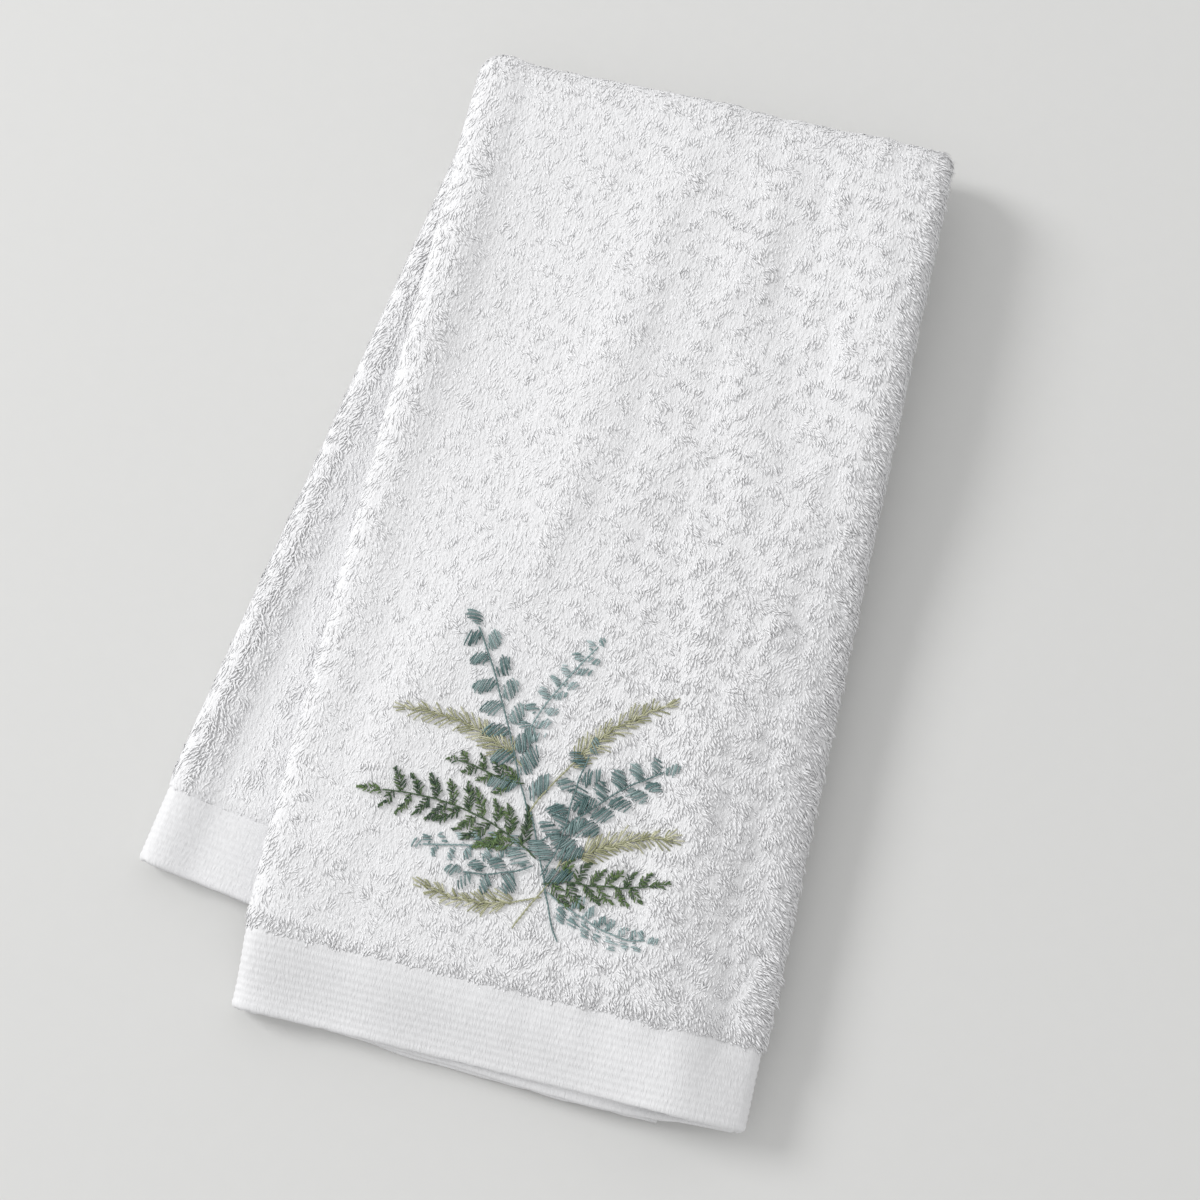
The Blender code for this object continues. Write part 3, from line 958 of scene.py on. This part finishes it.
# The spray: each sprig has a stem through four places, and leaves, buds or berries along it
Sprig = namedtuple("Sprig", "thread points leaf leaves size width spread start lift")
SPRIGS = (
    Sprig("teal", ((0.012, 0.037), (0.006, 0.046), (0.003, 0.058), (-0.004, 0.072)),
          "oval", 0, 0.0, 0.0, 0, 0.0, 0.0),
    Sprig("sage", ((-0.001, 0.038), (0.003, 0.046), (0.006, 0.052), (0.008, 0.060)),
          "bud", 0, 0.0, 0.0, 0, 0.0, 0.0),
    Sprig("sage", ((0.008, 0.058), (0.018, 0.066), (0.024, 0.070), (0.037, 0.072)),
          "bud", 17, 0.0068, 0.0028, 36, 0.18, 0.0),
    Sprig("sage", ((-0.008, 0.082), (-0.020, 0.090), (-0.030, 0.093), (-0.045, 0.091)),
          "bud", 18, 0.0070, 0.0028, 36, 0.14, 0.0),
    Sprig("sage", ((-0.004, 0.070), (0.004, 0.088), (0.012, 0.100), (0.027, 0.109)),
          "bud", 18, 0.0070, 0.0028, 34, 0.34, 0.0),
    Sprig("sage", ((0.005, 0.048), (-0.006, 0.043), (-0.016, 0.041), (-0.028, 0.044)),
          "bud", 14, 0.0062, 0.0028, 34, 0.24, 0.0),
    Sprig("aqua", ((-0.010, 0.086), (-0.010, 0.100), (-0.002, 0.110), (0.004, 0.121)),
          "berry", 15, 0.0048, 0.0040, 62, 0.10, 0.0),
    Sprig("aqua", ((0.006, 0.050), (0.016, 0.046), (0.026, 0.040), (0.036, 0.043)),
          "berry", 15, 0.0046, 0.0038, 60, 0.18, 0.0),
    Sprig("aqua", ((-0.001, 0.060), (-0.012, 0.060), (-0.022, 0.056), (-0.031, 0.055)),
          "berry", 12, 0.0046, 0.0038, 58, 0.10, 0.0),
    Sprig("teal", ((-0.004, 0.070), (-0.012, 0.084), (-0.020, 0.104), (-0.031, 0.119)),
          "oval", 15, 0.0082, 0.0068, 64, 0.10, 0.0002),
    Sprig("teal", ((0.000, 0.062), (0.012, 0.074), (0.019, 0.084), (0.031, 0.090)),
          "oval", 13, 0.0078, 0.0064, 60, 0.10, 0.0002),
    Sprig("forest", ((0.001, 0.058), (-0.012, 0.066), (-0.026, 0.070), (-0.046, 0.067)),
          "blade", 19, 0.0108, 0.0034, 56, 0.12, 0.0003),
    Sprig("forest", ((0.004, 0.052), (0.014, 0.055), (0.022, 0.054), (0.034, 0.058)),
          "blade", 13, 0.0088, 0.0032, 54, 0.10, 0.0003),
    Sprig("teal", ((0.003, 0.054), (0.008, 0.064), (0.006, 0.076), (0.009, 0.090)),
          "oval", 11, 0.0076, 0.0062, 60, 0.02, 0.0004),
    Sprig("forest", ((-0.007, 0.078), (-0.013, 0.076), (-0.020, 0.080), (-0.027, 0.080)),
          "blade", 8, 0.0066, 0.0028, 50, 0.10, 0.0004),
    Sprig("teal", ((0.001, 0.056), (-0.006, 0.052), (-0.012, 0.050), (-0.018, 0.050)),
          "oval", 7, 0.0066, 0.0054, 60, 0.10, 0.0004),
)


def stem_place(sprig, share):
    """Place on a sprig's stem, as x + iy on the panel."""
    a, b, c, d = (complex(*point) for point in sprig.points)
    rest = 1.0 - share
    return (
        a * rest**3 + 3 * b * rest * rest * share + 3 * c * rest * share**2 + d * share**3
    )


def stem_stitches(sprig):
    """Stitches that overlap like a rope along the stem."""
    shares = np.linspace(0.0, 1.0, 200)
    run = np.abs(np.diff(stem_place(sprig, shares))).sum()
    count = int(run / (STEM_STITCH * STEM_OVERLAP))
    first = np.arange(count) / count
    last = np.minimum(first + STEM_STITCH / run, 1.0)
    start, end = stem_place(sprig, first), stem_place(sprig, last)
    side = 1j * (end - start) / np.maximum(np.abs(end - start), 1e-6) * STEM_SIDE
    return start - side, end + side


def blade_stitches(base, tip, width, pitch, bow, random):
    """Satin stitches of a pointed leaf, slanting from its midrib out to both edges."""
    run = tip - base
    shares = np.arange(0.03, 0.95, pitch / abs(run))
    starts, ends = [], []
    for side in (1.0, -1.0):
        reach = np.minimum(shares + BLADE_SLANT, 1.0)
        half = width / 2 * np.sin(math.pi * np.clip(reach, 0.0, 1.0) ** 0.8) ** 0.75
        half = half + random.uniform(-BLADE_EDGE, BLADE_EDGE, len(shares))
        midrib = base + run * shares + 1j * run * bow * np.sin(math.pi * shares)
        edge = base + run * reach + 1j * run * bow * np.sin(math.pi * reach)
        starts.append(midrib)
        ends.append(edge + 1j * run / abs(run) * side * half)
    return np.concatenate(starts), np.concatenate(ends)


def oval_stitches(middle, along, half_length, half_width, pitch, random):
    """Slanting satin stitches straight across a rounded leaf or a berry."""
    places = np.arange(-0.92, 0.93, pitch / half_length)
    half = half_width * np.sqrt(1.0 - places**2) + random.uniform(*OVAL_EDGE, len(places))
    slant = along * np.exp(1j * OVAL_SLANT)
    centres = middle + along * places * half_length
    return centres - slant * half, centres + slant * half


def bud_stitches(base, along, size, width, pitch, random):
    """A few long stitches that spread a little from one place."""
    count = max(3, round(width / pitch))
    fan = np.linspace(-0.5, 0.5, count)
    start = base + 1j * along * fan * width * 0.5
    reach = size * (1.0 - 0.9 * fan**2) * random.uniform(*BUD_LENGTHS, count)
    return start, start + along * np.exp(1j * fan * 0.5) * reach


def sprig_stitches(sprig, thread_width, random):
    """Starts, ends and tint of a sprig's stitches."""
    pitch = thread_width * STITCH_PITCH
    starts, ends = ([places] for places in stem_stitches(sprig))
    tints = [np.full(len(starts[0]), STEM_TINT)]
    shares = np.linspace(sprig.start, 1.0, sprig.leaves)
    for number, share in enumerate(shares):
        last = number == sprig.leaves - 1
        base = stem_place(sprig, share)
        ahead = stem_place(sprig, min(share + 0.01, 1.0)) - stem_place(sprig, share - 0.01)
        side = 0.0 if last else (1.0 if number % 2 else -1.0)
        spread = math.radians(sprig.spread * random.uniform(*LEAF_SPREADS)) * side
        along = ahead / abs(ahead) * np.exp(1j * spread)
        size = sprig.size * (1.0 - SMALLER_AT_TIP * share) * random.uniform(*LEAF_SIZES)
        width = sprig.width * (1.0 - NARROWER_AT_TIP * share) * random.uniform(*LEAF_WIDTHS)
        if sprig.leaf == "blade":
            bow = BLADE_BOW * side * random.uniform(*BLADE_BOWS)
            made = blade_stitches(base, base + along * size, width, pitch, bow, random)
        elif sprig.leaf == "bud":
            made = bud_stitches(base, along, size, width, pitch, random)
        else:
            middle = base + along * (size / 2 + OVAL_STALK)
            made = oval_stitches(middle, along, size / 2, width / 2, pitch, random)
        kept = random.uniform(0.0, 1.0, len(made[0])) > STITCHES_LEFT_OUT
        shaken = random.normal(0.0, STITCH_SHAKE, (4, kept.sum()))
        starts.append(made[0][kept] + shaken[0] + 1j * shaken[1])
        ends.append(made[1][kept] + shaken[2] + 1j * shaken[3])
        leaf_tint = random.uniform(*LEAF_TINTS)
        tint = leaf_tint + random.normal(0.0, TINT_SPREAD, kept.sum())
        tints.append(np.clip(tint, 0.0, 1.0))
    return np.concatenate(starts), np.concatenate(ends), np.concatenate(tints)


def spray_stitches(thread_width):
    """All stitches as (thread, starts, ends, tints, lift), the same at every call."""
    random = np.random.default_rng(SPRAY_SEED)
    return [
        (sprig.thread, *sprig_stitches(sprig, thread_width, random), sprig.lift)
        for sprig in SPRIGS
    ]


def flat_place(panel_place):
    """Flat s and t of places on the panel given as x + iy."""
    return panel_place.real - PANEL_LEFT + PANEL_START, panel_place.imag


def covered_by_stitches(thread_width):
    """A map of the flat cloth in small cells, true under the stitches."""
    size = int(CLOTH_WIDTH / COVER_CELL), int(COVER_LENGTH / COVER_CELL)
    cells = np.zeros(size, bool)
    for _, starts, ends, _, _ in spray_stitches(thread_width):
        for share in np.linspace(*COVER_SHARES, COVER_STEPS):
            s, t = flat_place(starts + (ends - starts) * share)
            for aside in (-1, 0, 1):
                for up in (-1, 0, 1):
                    column = (s / COVER_CELL).astype(int) + aside
                    cells[column, (t / COVER_CELL).astype(int) + up] = True
    return cells


def thread_piece(name, groups, thread_width, rise, material):
    """Every stitch of one colour as an arched, slightly flattened tube in one mesh."""
    starts, ends, tints, lifts = (
        np.concatenate([group[index] for group in groups]) for index in range(4)
    )
    shares = np.array(STITCH_STATIONS)
    line = starts[:, None] + (ends - starts)[:, None] * shares
    s, t = flat_place(line)
    place, normal, _, _ = cloth_frame(s, t)
    lengths = np.abs(ends - starts)
    height = rise * np.clip(lengths / LONG_STITCH, LEAST_RISE, 1.0)
    arch = np.array(STITCH_RISE) * height[:, None]
    centres = place + normal * (HALF_GROUND + lifts[:, None] + arch)[..., None]
    forward = unit(np.gradient(centres, axis=1))
    outward = unit(normal - forward * dot(normal, forward))
    across = np.cross(outward, forward)
    radii = np.broadcast_to(np.array(STITCH_WIDTHS) * thread_width / 2, s.shape)
    points, quads, tris, uv, each = tubes(
        centres, across, outward * STITCH_FLATNESS, radii, STITCH_CORNERS,
        lengths[:, None] * shares,
    )
    return make_piece(name, points, quads, tris, uv, [material], np.repeat(tints, each))


def loop_roots(towel, t_start, t_end, covered, random):
    """Flat places of the loops in one run of the cloth, in uneven staggered rows."""
    spacing = towel.loop_spacing
    t_rows = np.arange(t_start, t_end, spacing)
    s_row = np.arange(LEFT_ROLL_START - LEFT_THIRD_SHOWN, RIGHT_ROLL_END, spacing)
    t, s = np.meshgrid(t_rows, s_row, indexing="ij")
    s = s + (np.arange(len(t_rows)) % 2)[:, None] * spacing / 2
    s = (s + random.uniform(-LOOP_SCATTER, LOOP_SCATTER, s.shape) * spacing).ravel()
    t = (t + random.uniform(-LOOP_SCATTER, LOOP_SCATTER, t.shape) * spacing).ravel()
    keep = shows_outside(s, t, folded(s, t)).astype(bool)
    swing = PILE_EDGE_SWING * soft_noise(s, 0.0, PILE_EDGE_WAVE, PILE_EDGE_SEED)
    edge = HEM_DEPTH + PILE_EDGE_GAP + swing
    keep &= (to_hem_of(t) > edge) & (s > 0.0)
    column = np.clip((s / COVER_CELL).astype(int), 0, covered.shape[0] - 1)
    row = (t / COVER_CELL).astype(int)
    near = row < covered.shape[1]
    under = near & covered[column, np.where(near, row, 0)]
    keep &= ~under | (random.uniform(0.0, 1.0, s.shape) < towel.loops_through_stitches)
    return s[keep], t[keep]


def calm_at(s, t):
    """How flat and even the loops lie, least at the panel's lower right."""
    right_share = soft_step((s - PANEL_START - CALM_RIGHT_FROM) / CALM_RIGHT_OVER)
    low_share = 1.0 - soft_step((t - CALM_LOW_FROM) / CALM_LOW_OVER)
    calm = CALM - CALM_LOST_AT_RIGHT * right_share
    calm = calm - CALM_LOST_AT_LOWER_RIGHT * right_share * low_share
    return calm * mix(1.0, CALM_ON_REAR, soft_step((t - BEND_END) / CALM_REAR_OVER))


def over_rolls(s):
    """How far a flat place is over the right roll, and over the left roll."""
    over_right = soft_step((s - PANEL_END + ROLL_BLEND) / ROLL_BLEND)
    over_left = soft_step((PANEL_START + ROLL_BLEND / 2 - s) / ROLL_BLEND)
    return over_right, over_left * soft_step((s - LEFT_ROLL_START + LEFT_BLEND_EARLY) / ROLL_BLEND)


def lean_of_loops(s, t, over_right, over_left, random):
    """How far each loop leans across and along the cloth, drawn together in clumps."""
    angle = LOOP_DIRECTION + LEAN_SWING * soft_noise(s, t, LEAN_WAVE, LEAN_SEED)
    angle = angle + LEAN_SWING * soft_noise(s, t, FINE_LEAN_WAVE, FINE_LEAN_SEED)
    angle = angle + random.normal(0.0, LEAN_SPREAD, s.shape)
    pulls = [
        soft_noise(s + step_s, t + step_t, CLUMP_WAVE, CLUMP_SEED)
        - soft_noise(s - step_s, t - step_t, CLUMP_WAVE, CLUMP_SEED)
        for step_s, step_t in ((PULL_STEP, 0.0), (0.0, PULL_STEP))
    ]
    pull = LOOP_PULL * (1.0 - calm_at(s, t)) * CLUMP_WAVE / (4 * math.pi * PULL_STEP)
    lean_s = np.cos(angle) + pull * pulls[0]
    lean_s = lean_s + LEAN_OVER_RIGHT * over_right - LEAN_OVER_LEFT * over_left
    return lean_s, np.sin(angle) + pull * pulls[1]


def loop_lengths(s, t, full_length, over_right, random):
    """Length of yarn in each loop."""
    clump = CLUMP_FULLNESS * soft_noise(s, t, CLUMP_WAVE, CLUMP_SEED)
    fullness = 1.0 + clump + random.normal(0.0, FULLNESS_SPREAD, s.shape)
    length = full_length * np.clip(fullness, *FULLNESS_RANGE)
    length = length * (1.0 + LONGER_OVER_RIGHT * over_right)
    beside_hem = soft_step((to_hem_of(t) - HEM_DEPTH) / SHORTER_WITHIN)
    return length * mix(LENGTH_AT_HEM, 1.0, beside_hem)


def loop_piece(run, towel, covered, material):
    """The loops of one run of the cloth as one mesh of short bent strands."""
    random = np.random.default_rng(run.seed)
    s, t = loop_roots(towel, run.start, run.end, covered, random)
    over_right, over_left = over_rolls(s)
    place, normal, along_s, along_t = cloth_frame(s, t)
    lean_s, lean_t = lean_of_loops(s, t, over_right, over_left, random)
    lean = unit(along_s * lean_s[:, None] + along_t * lean_t[:, None])
    lean = unit(lean - normal * dot(lean, normal))
    side = np.cross(normal, lean)
    length = loop_lengths(s, t, towel.loop_length, over_right, random)
    calm = np.maximum(CALM_OVER_LEFT * over_left, CALM_TILT * calm_at(s, t))
    start_tilt = mix(random.uniform(*START_TILT, s.shape), CALM_START_TILT, calm)
    end_tilt = random.uniform(*END_TILT, s.shape) - LESS_TILT_OVER_RIGHT * over_right
    spin = random.normal(0.0, SPIN_SPREAD, s.shape)
    stations = np.array(LOOP_STATIONS + (1.0,))
    tilt = start_tilt[:, None] + (end_tilt - start_tilt)[:, None] * stations
    bend = (length / (end_tilt - start_tilt))[:, None]
    root = LOOP_ROOT + ground_half(t) - HALF_GROUND
    up = bend * (np.sin(tilt) - np.sin(start_tilt)[:, None]) + root[:, None]
    out = bend * (np.cos(start_tilt)[:, None] - np.cos(tilt))
    aside = spin[:, None] * length[:, None] * SPIN_REACH * stations**2
    line = place[:, None] + normal[:, None] * up[..., None] + lean[:, None] * out[..., None]
    line = line + side[:, None] * aside[..., None]
    clear = line[..., 2].min(axis=1) > towel.loop_thickness / 4
    line, normal, lean, tilt, length = (
        part[clear] for part in (line, normal, lean, tilt, length)
    )
    forward = unit(np.gradient(line, axis=1))[:, :-1]
    upright, level = np.sin(tilt[:, :-1, None]), np.cos(tilt[:, :-1, None])
    outward = normal[:, None] * upright - lean[:, None] * level
    outward = unit(outward - forward * dot(outward, forward))
    across = np.cross(outward, forward)
    thick = towel.loop_thickness / 2 * random.uniform(*THICKNESS_RANGE, length.shape)
    radii = np.array(LOOP_WIDTHS) * thick[:, None]
    points, quads, tris, uv, each = tubes(
        line[:, :-1], across, outward * LOOP_FLATNESS, radii, LOOP_CORNERS,
        length[:, None] * stations[:-1], tips=line[:, -1],
    )
    tints = np.clip(random.normal(TINT_MIDDLE, TINT_SPREAD, length.shape), 0.0, 1.0)
    return make_piece(run.name, points, quads, tris, uv, [material], np.repeat(tints, each))


# Runs of the cloth whose loops make one piece each
LoopRun = namedtuple("LoopRun", "name start end seed")
LOOP_RUNS = (
    LoopRun("loops_front_lower", HEM_DEPTH - ROWS_INTO_HEM, 0.118, 51),
    LoopRun("loops_front_upper", 0.118, 0.214, 52),
    LoopRun("loops_over_fold", 0.214, BEND_END, 53),
    LoopRun("loops_rear_edge", BEND_END, FOLDED_LENGTH - HEM_DEPTH + ROWS_INTO_HEM, 54),
)
THREADS = ("forest", "teal", "sage", "aqua")


def length_property(name, description, default, low, high):
    return bpy.props.FloatProperty(
        name=name, description=description, default=default, min=low, max=high,
        precision=5, subtype="DISTANCE", unit="LENGTH",
    )


def colour_property(name, description, default):
    return bpy.props.FloatVectorProperty(
        name=name, description=description, default=default, min=0.0, max=1.0,
        subtype="COLOR",
    )


class TowelSizes(bpy.types.PropertyGroup):
    """Sizes and colours of the towel's finish."""

    loop_spacing: length_property(
        "Loop spacing", "Distance between the pile's loops", 0.00094, 0.0008, 0.004
    )
    loop_length: length_property(
        "Loop length", "Length of yarn that stands out in a loop", 0.0023, 0.001, 0.006
    )
    loop_thickness: length_property(
        "Loop thickness", "Thickness of the pile's yarn", 0.00068, 0.0002, 0.002
    )
    loops_through_stitches: bpy.props.FloatProperty(
        name="Loops through stitches", description="Share of the loops that poke through",
        default=0.10, min=0.0, max=1.0, subtype="FACTOR",
    )
    rib_pitch: length_property("Rib pitch", "Distance between the hem's fine ribs", 0.0020, 0.001, 0.01)
    rib_height: length_property("Rib height", "Height of the hem's fine ribs", 0.00021, 0.0, 0.001)
    thread_width: length_property(
        "Thread width", "Width of the embroidery thread", 0.00042, 0.0002, 0.001
    )
    stitch_rise: length_property(
        "Stitch rise", "How far the middle of a stitch stands off the ground", 0.0008, 0.0, 0.003
    )
    cotton_colour: colour_property("Cotton colour", "Colour of the white cotton", (0.840, 0.840, 0.851))
    forest_dark: colour_property(
        "Forest, dark", "Darker shade of the forest green thread", (0.010, 0.042, 0.024)
    )
    forest_light: colour_property(
        "Forest, light", "Lighter shade of the forest green thread", (0.150, 0.240, 0.070)
    )
    teal_dark: colour_property("Teal, dark", "Darker shade of the teal thread", (0.034, 0.105, 0.103))
    teal_light: colour_property("Teal, light", "Lighter shade of the teal thread", (0.360, 0.480, 0.475))
    sage_dark: colour_property("Sage, dark", "Darker shade of the sage thread", (0.250, 0.262, 0.118))
    sage_light: colour_property("Sage, light", "Lighter shade of the sage thread", (0.700, 0.690, 0.510))
    aqua_dark: colour_property("Aqua, dark", "Darker shade of the aqua grey thread", (0.130, 0.235, 0.230))
    aqua_light: colour_property(
        "Aqua, light", "Lighter shade of the aqua grey thread", (0.560, 0.670, 0.680)
    )
    table_colour: colour_property("Table colour", "Colour of the pale table", (0.675, 0.675, 0.665))
    key_power: bpy.props.FloatProperty(
        name="Key light", description="Power of the soft light at the left",
        default=39.5, min=0.0, max=500.0, unit="POWER",
    )
    fill_strength: bpy.props.FloatProperty(
        name="Fill light", description="Strength of the even light from all round",
        default=0.735, min=0.0, max=10.0,
    )


class TOWEL_OT_fold_cloth(bpy.types.Operator):
    """Make the folded cloth with its hems"""

    bl_idname = "towel.fold_cloth"
    bl_label = "Fold Cloth"

    def execute(self, context):
        piece = dress(cloth_piece(context.scene.towel_sizes))
        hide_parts(NODE)
        return {"FINISHED"}


class TOWEL_OT_grow_loops(bpy.types.Operator):
    """Grow the loops of the pile wherever it shows"""

    bl_idname = "towel.grow_loops"
    bl_label = "Grow Loops"

    def execute(self, context):
        towel = context.scene.towel_sizes
        cotton = tuple(towel.cotton_colour)
        material = loop_material(cotton, fibre_of_all(), twist_of_all())
        covered = covered_by_stitches(towel.thread_width)
        for run in LOOP_RUNS:
            piece = dress(loop_piece(run, towel, covered, material))
            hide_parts(NODE)
        return {"FINISHED"}


class TOWEL_OT_stitch_spray(bpy.types.Operator):
    """Stitch the leafy spray, one piece for each colour of thread"""

    bl_idname = "towel.stitch_spray"
    bl_label = "Stitch Spray"

    def execute(self, context):
        towel = context.scene.towel_sizes
        made = spray_stitches(towel.thread_width)
        for thread in THREADS:
            dark = tuple(getattr(towel, thread + "_dark"))
            light = tuple(getattr(towel, thread + "_light"))
            material = thread_material(thread, dark, light, fibre_of_all(), twist_of_all())
            groups = [
                (starts, ends, tints, np.full(len(starts), lift))
                for name, starts, ends, tints, lift in made
                if name == thread
            ]
            dress(thread_piece(
                "spray_" + thread, groups, towel.thread_width, towel.stitch_rise, material
            ))
        return {"FINISHED"}


class TOWEL_OT_declare_sheet(bpy.types.Operator):
    """An empty step that makes and changes nothing"""

    bl_idname = "towel.declare_sheet"
    bl_label = "Declare Sheet"

    def execute(self, context):
        return {"FINISHED"}


# The camera's place over the towel, and its tilt and turn in degrees
CAMERA_PLACE = (0.0483, -0.1346, 0.5279)
CAMERA_TILT = 13.78
CAMERA_TURN = 13.36
CAMERA_LENS = 54.0

# The key light: its distance, its height above the table and turn in degrees, its width
KEY_DISTANCE = 2.6
KEY_ELEVATION = 33.0
KEY_TURN = 12.0
KEY_WIDTH = 1.0
TABLE_WIDTH = 6.0
TABLE_BELOW = 0.0001


class TOWEL_OT_set_stage(bpy.types.Operator):
    """Set the pale table, the soft lights and the camera"""

    bl_idname = "towel.set_stage"
    bl_label = "Set Stage"

    def execute(self, context):
        towel, scene = context.scene.towel_sizes, context.scene
        bpy.ops.object.select_all(action="DESELECT")
        bpy.ops.mesh.primitive_plane_add(size=TABLE_WIDTH, location=(0, 0, -TABLE_BELOW))
        table = context.object
        table.name = table.data.name = "table"
        bpy.ops.object.transform_apply(location=True, rotation=True, scale=True)
        finish = floor_material(tuple(towel.table_colour), fibre_of_all())
        table.data.materials.append(finish)
        elevation, turn = math.radians(KEY_ELEVATION), math.radians(KEY_TURN)
        key = bpy.data.lights.new("key", "AREA")
        key.shape = "DISK"
        key.size = KEY_WIDTH
        key.energy = towel.key_power
        lamp = bpy.data.objects.new("key", key)
        lamp.location = (
            -KEY_DISTANCE * math.cos(elevation) * math.cos(turn),
            KEY_DISTANCE * math.cos(elevation) * math.sin(turn),
            KEY_DISTANCE * math.sin(elevation),
        )
        lamp.rotation_euler = (-lamp.location).to_track_quat("-Z", "Y").to_euler()
        scene.collection.objects.link(lamp)
        scene.world = scene.world or bpy.data.worlds.new("soft room")
        scene.world.use_nodes = True
        room = scene.world.node_tree.nodes["Background"]
        room.inputs["Color"].default_value = (1.0, 1.0, 1.0, 1.0)
        room.inputs["Strength"].default_value = towel.fill_strength
        scene.view_settings.view_transform = "Standard"
        camera = bpy.data.objects.new("camera", bpy.data.cameras.new("camera"))
        camera.data.lens = CAMERA_LENS
        camera.data.dof.use_dof = False
        camera.location = CAMERA_PLACE
        camera.rotation_euler = Euler(
            (math.radians(CAMERA_TILT), 0.0, math.radians(CAMERA_TURN))
        )
        scene.collection.objects.link(camera)
        scene.camera = camera
        return {"FINISHED"}


class TOWEL_PT_pieces(bpy.types.Panel):
    """Lists the towel's sizes and the operators that make it."""

    bl_idname = "TOWEL_PT_pieces"
    bl_label = "Hand Towel"
    bl_space_type = "VIEW_3D"
    bl_region_type = "UI"
    bl_category = "Towel"

    def draw(self, context):
        for name in TowelSizes.__annotations__:
            self.layout.prop(context.scene.towel_sizes, name)
        for operator in OPERATORS:
            self.layout.operator(operator.bl_idname)


OPERATORS = (
    TOWEL_OT_fold_cloth,
    TOWEL_OT_stitch_spray,
    TOWEL_OT_grow_loops,
    TOWEL_OT_declare_sheet,
    TOWEL_OT_set_stage,
)
CLASSES = (TowelSizes, *OPERATORS, TOWEL_PT_pieces)


def register():
    for cls in CLASSES:
        bpy.utils.register_class(cls)
    bpy.types.Scene.towel_sizes = bpy.props.PointerProperty(type=TowelSizes)


def unregister():
    del bpy.types.Scene.towel_sizes
    for cls in reversed(CLASSES):
        bpy.utils.unregister_class(cls)


def main():
    register()
    bpy.ops.towel.fold_cloth()
    bpy.ops.towel.stitch_spray()
    bpy.ops.towel.grow_loops()
    bpy.ops.towel.declare_sheet()
    bpy.ops.towel.set_stage()


if __name__ == "__main__":
    main()
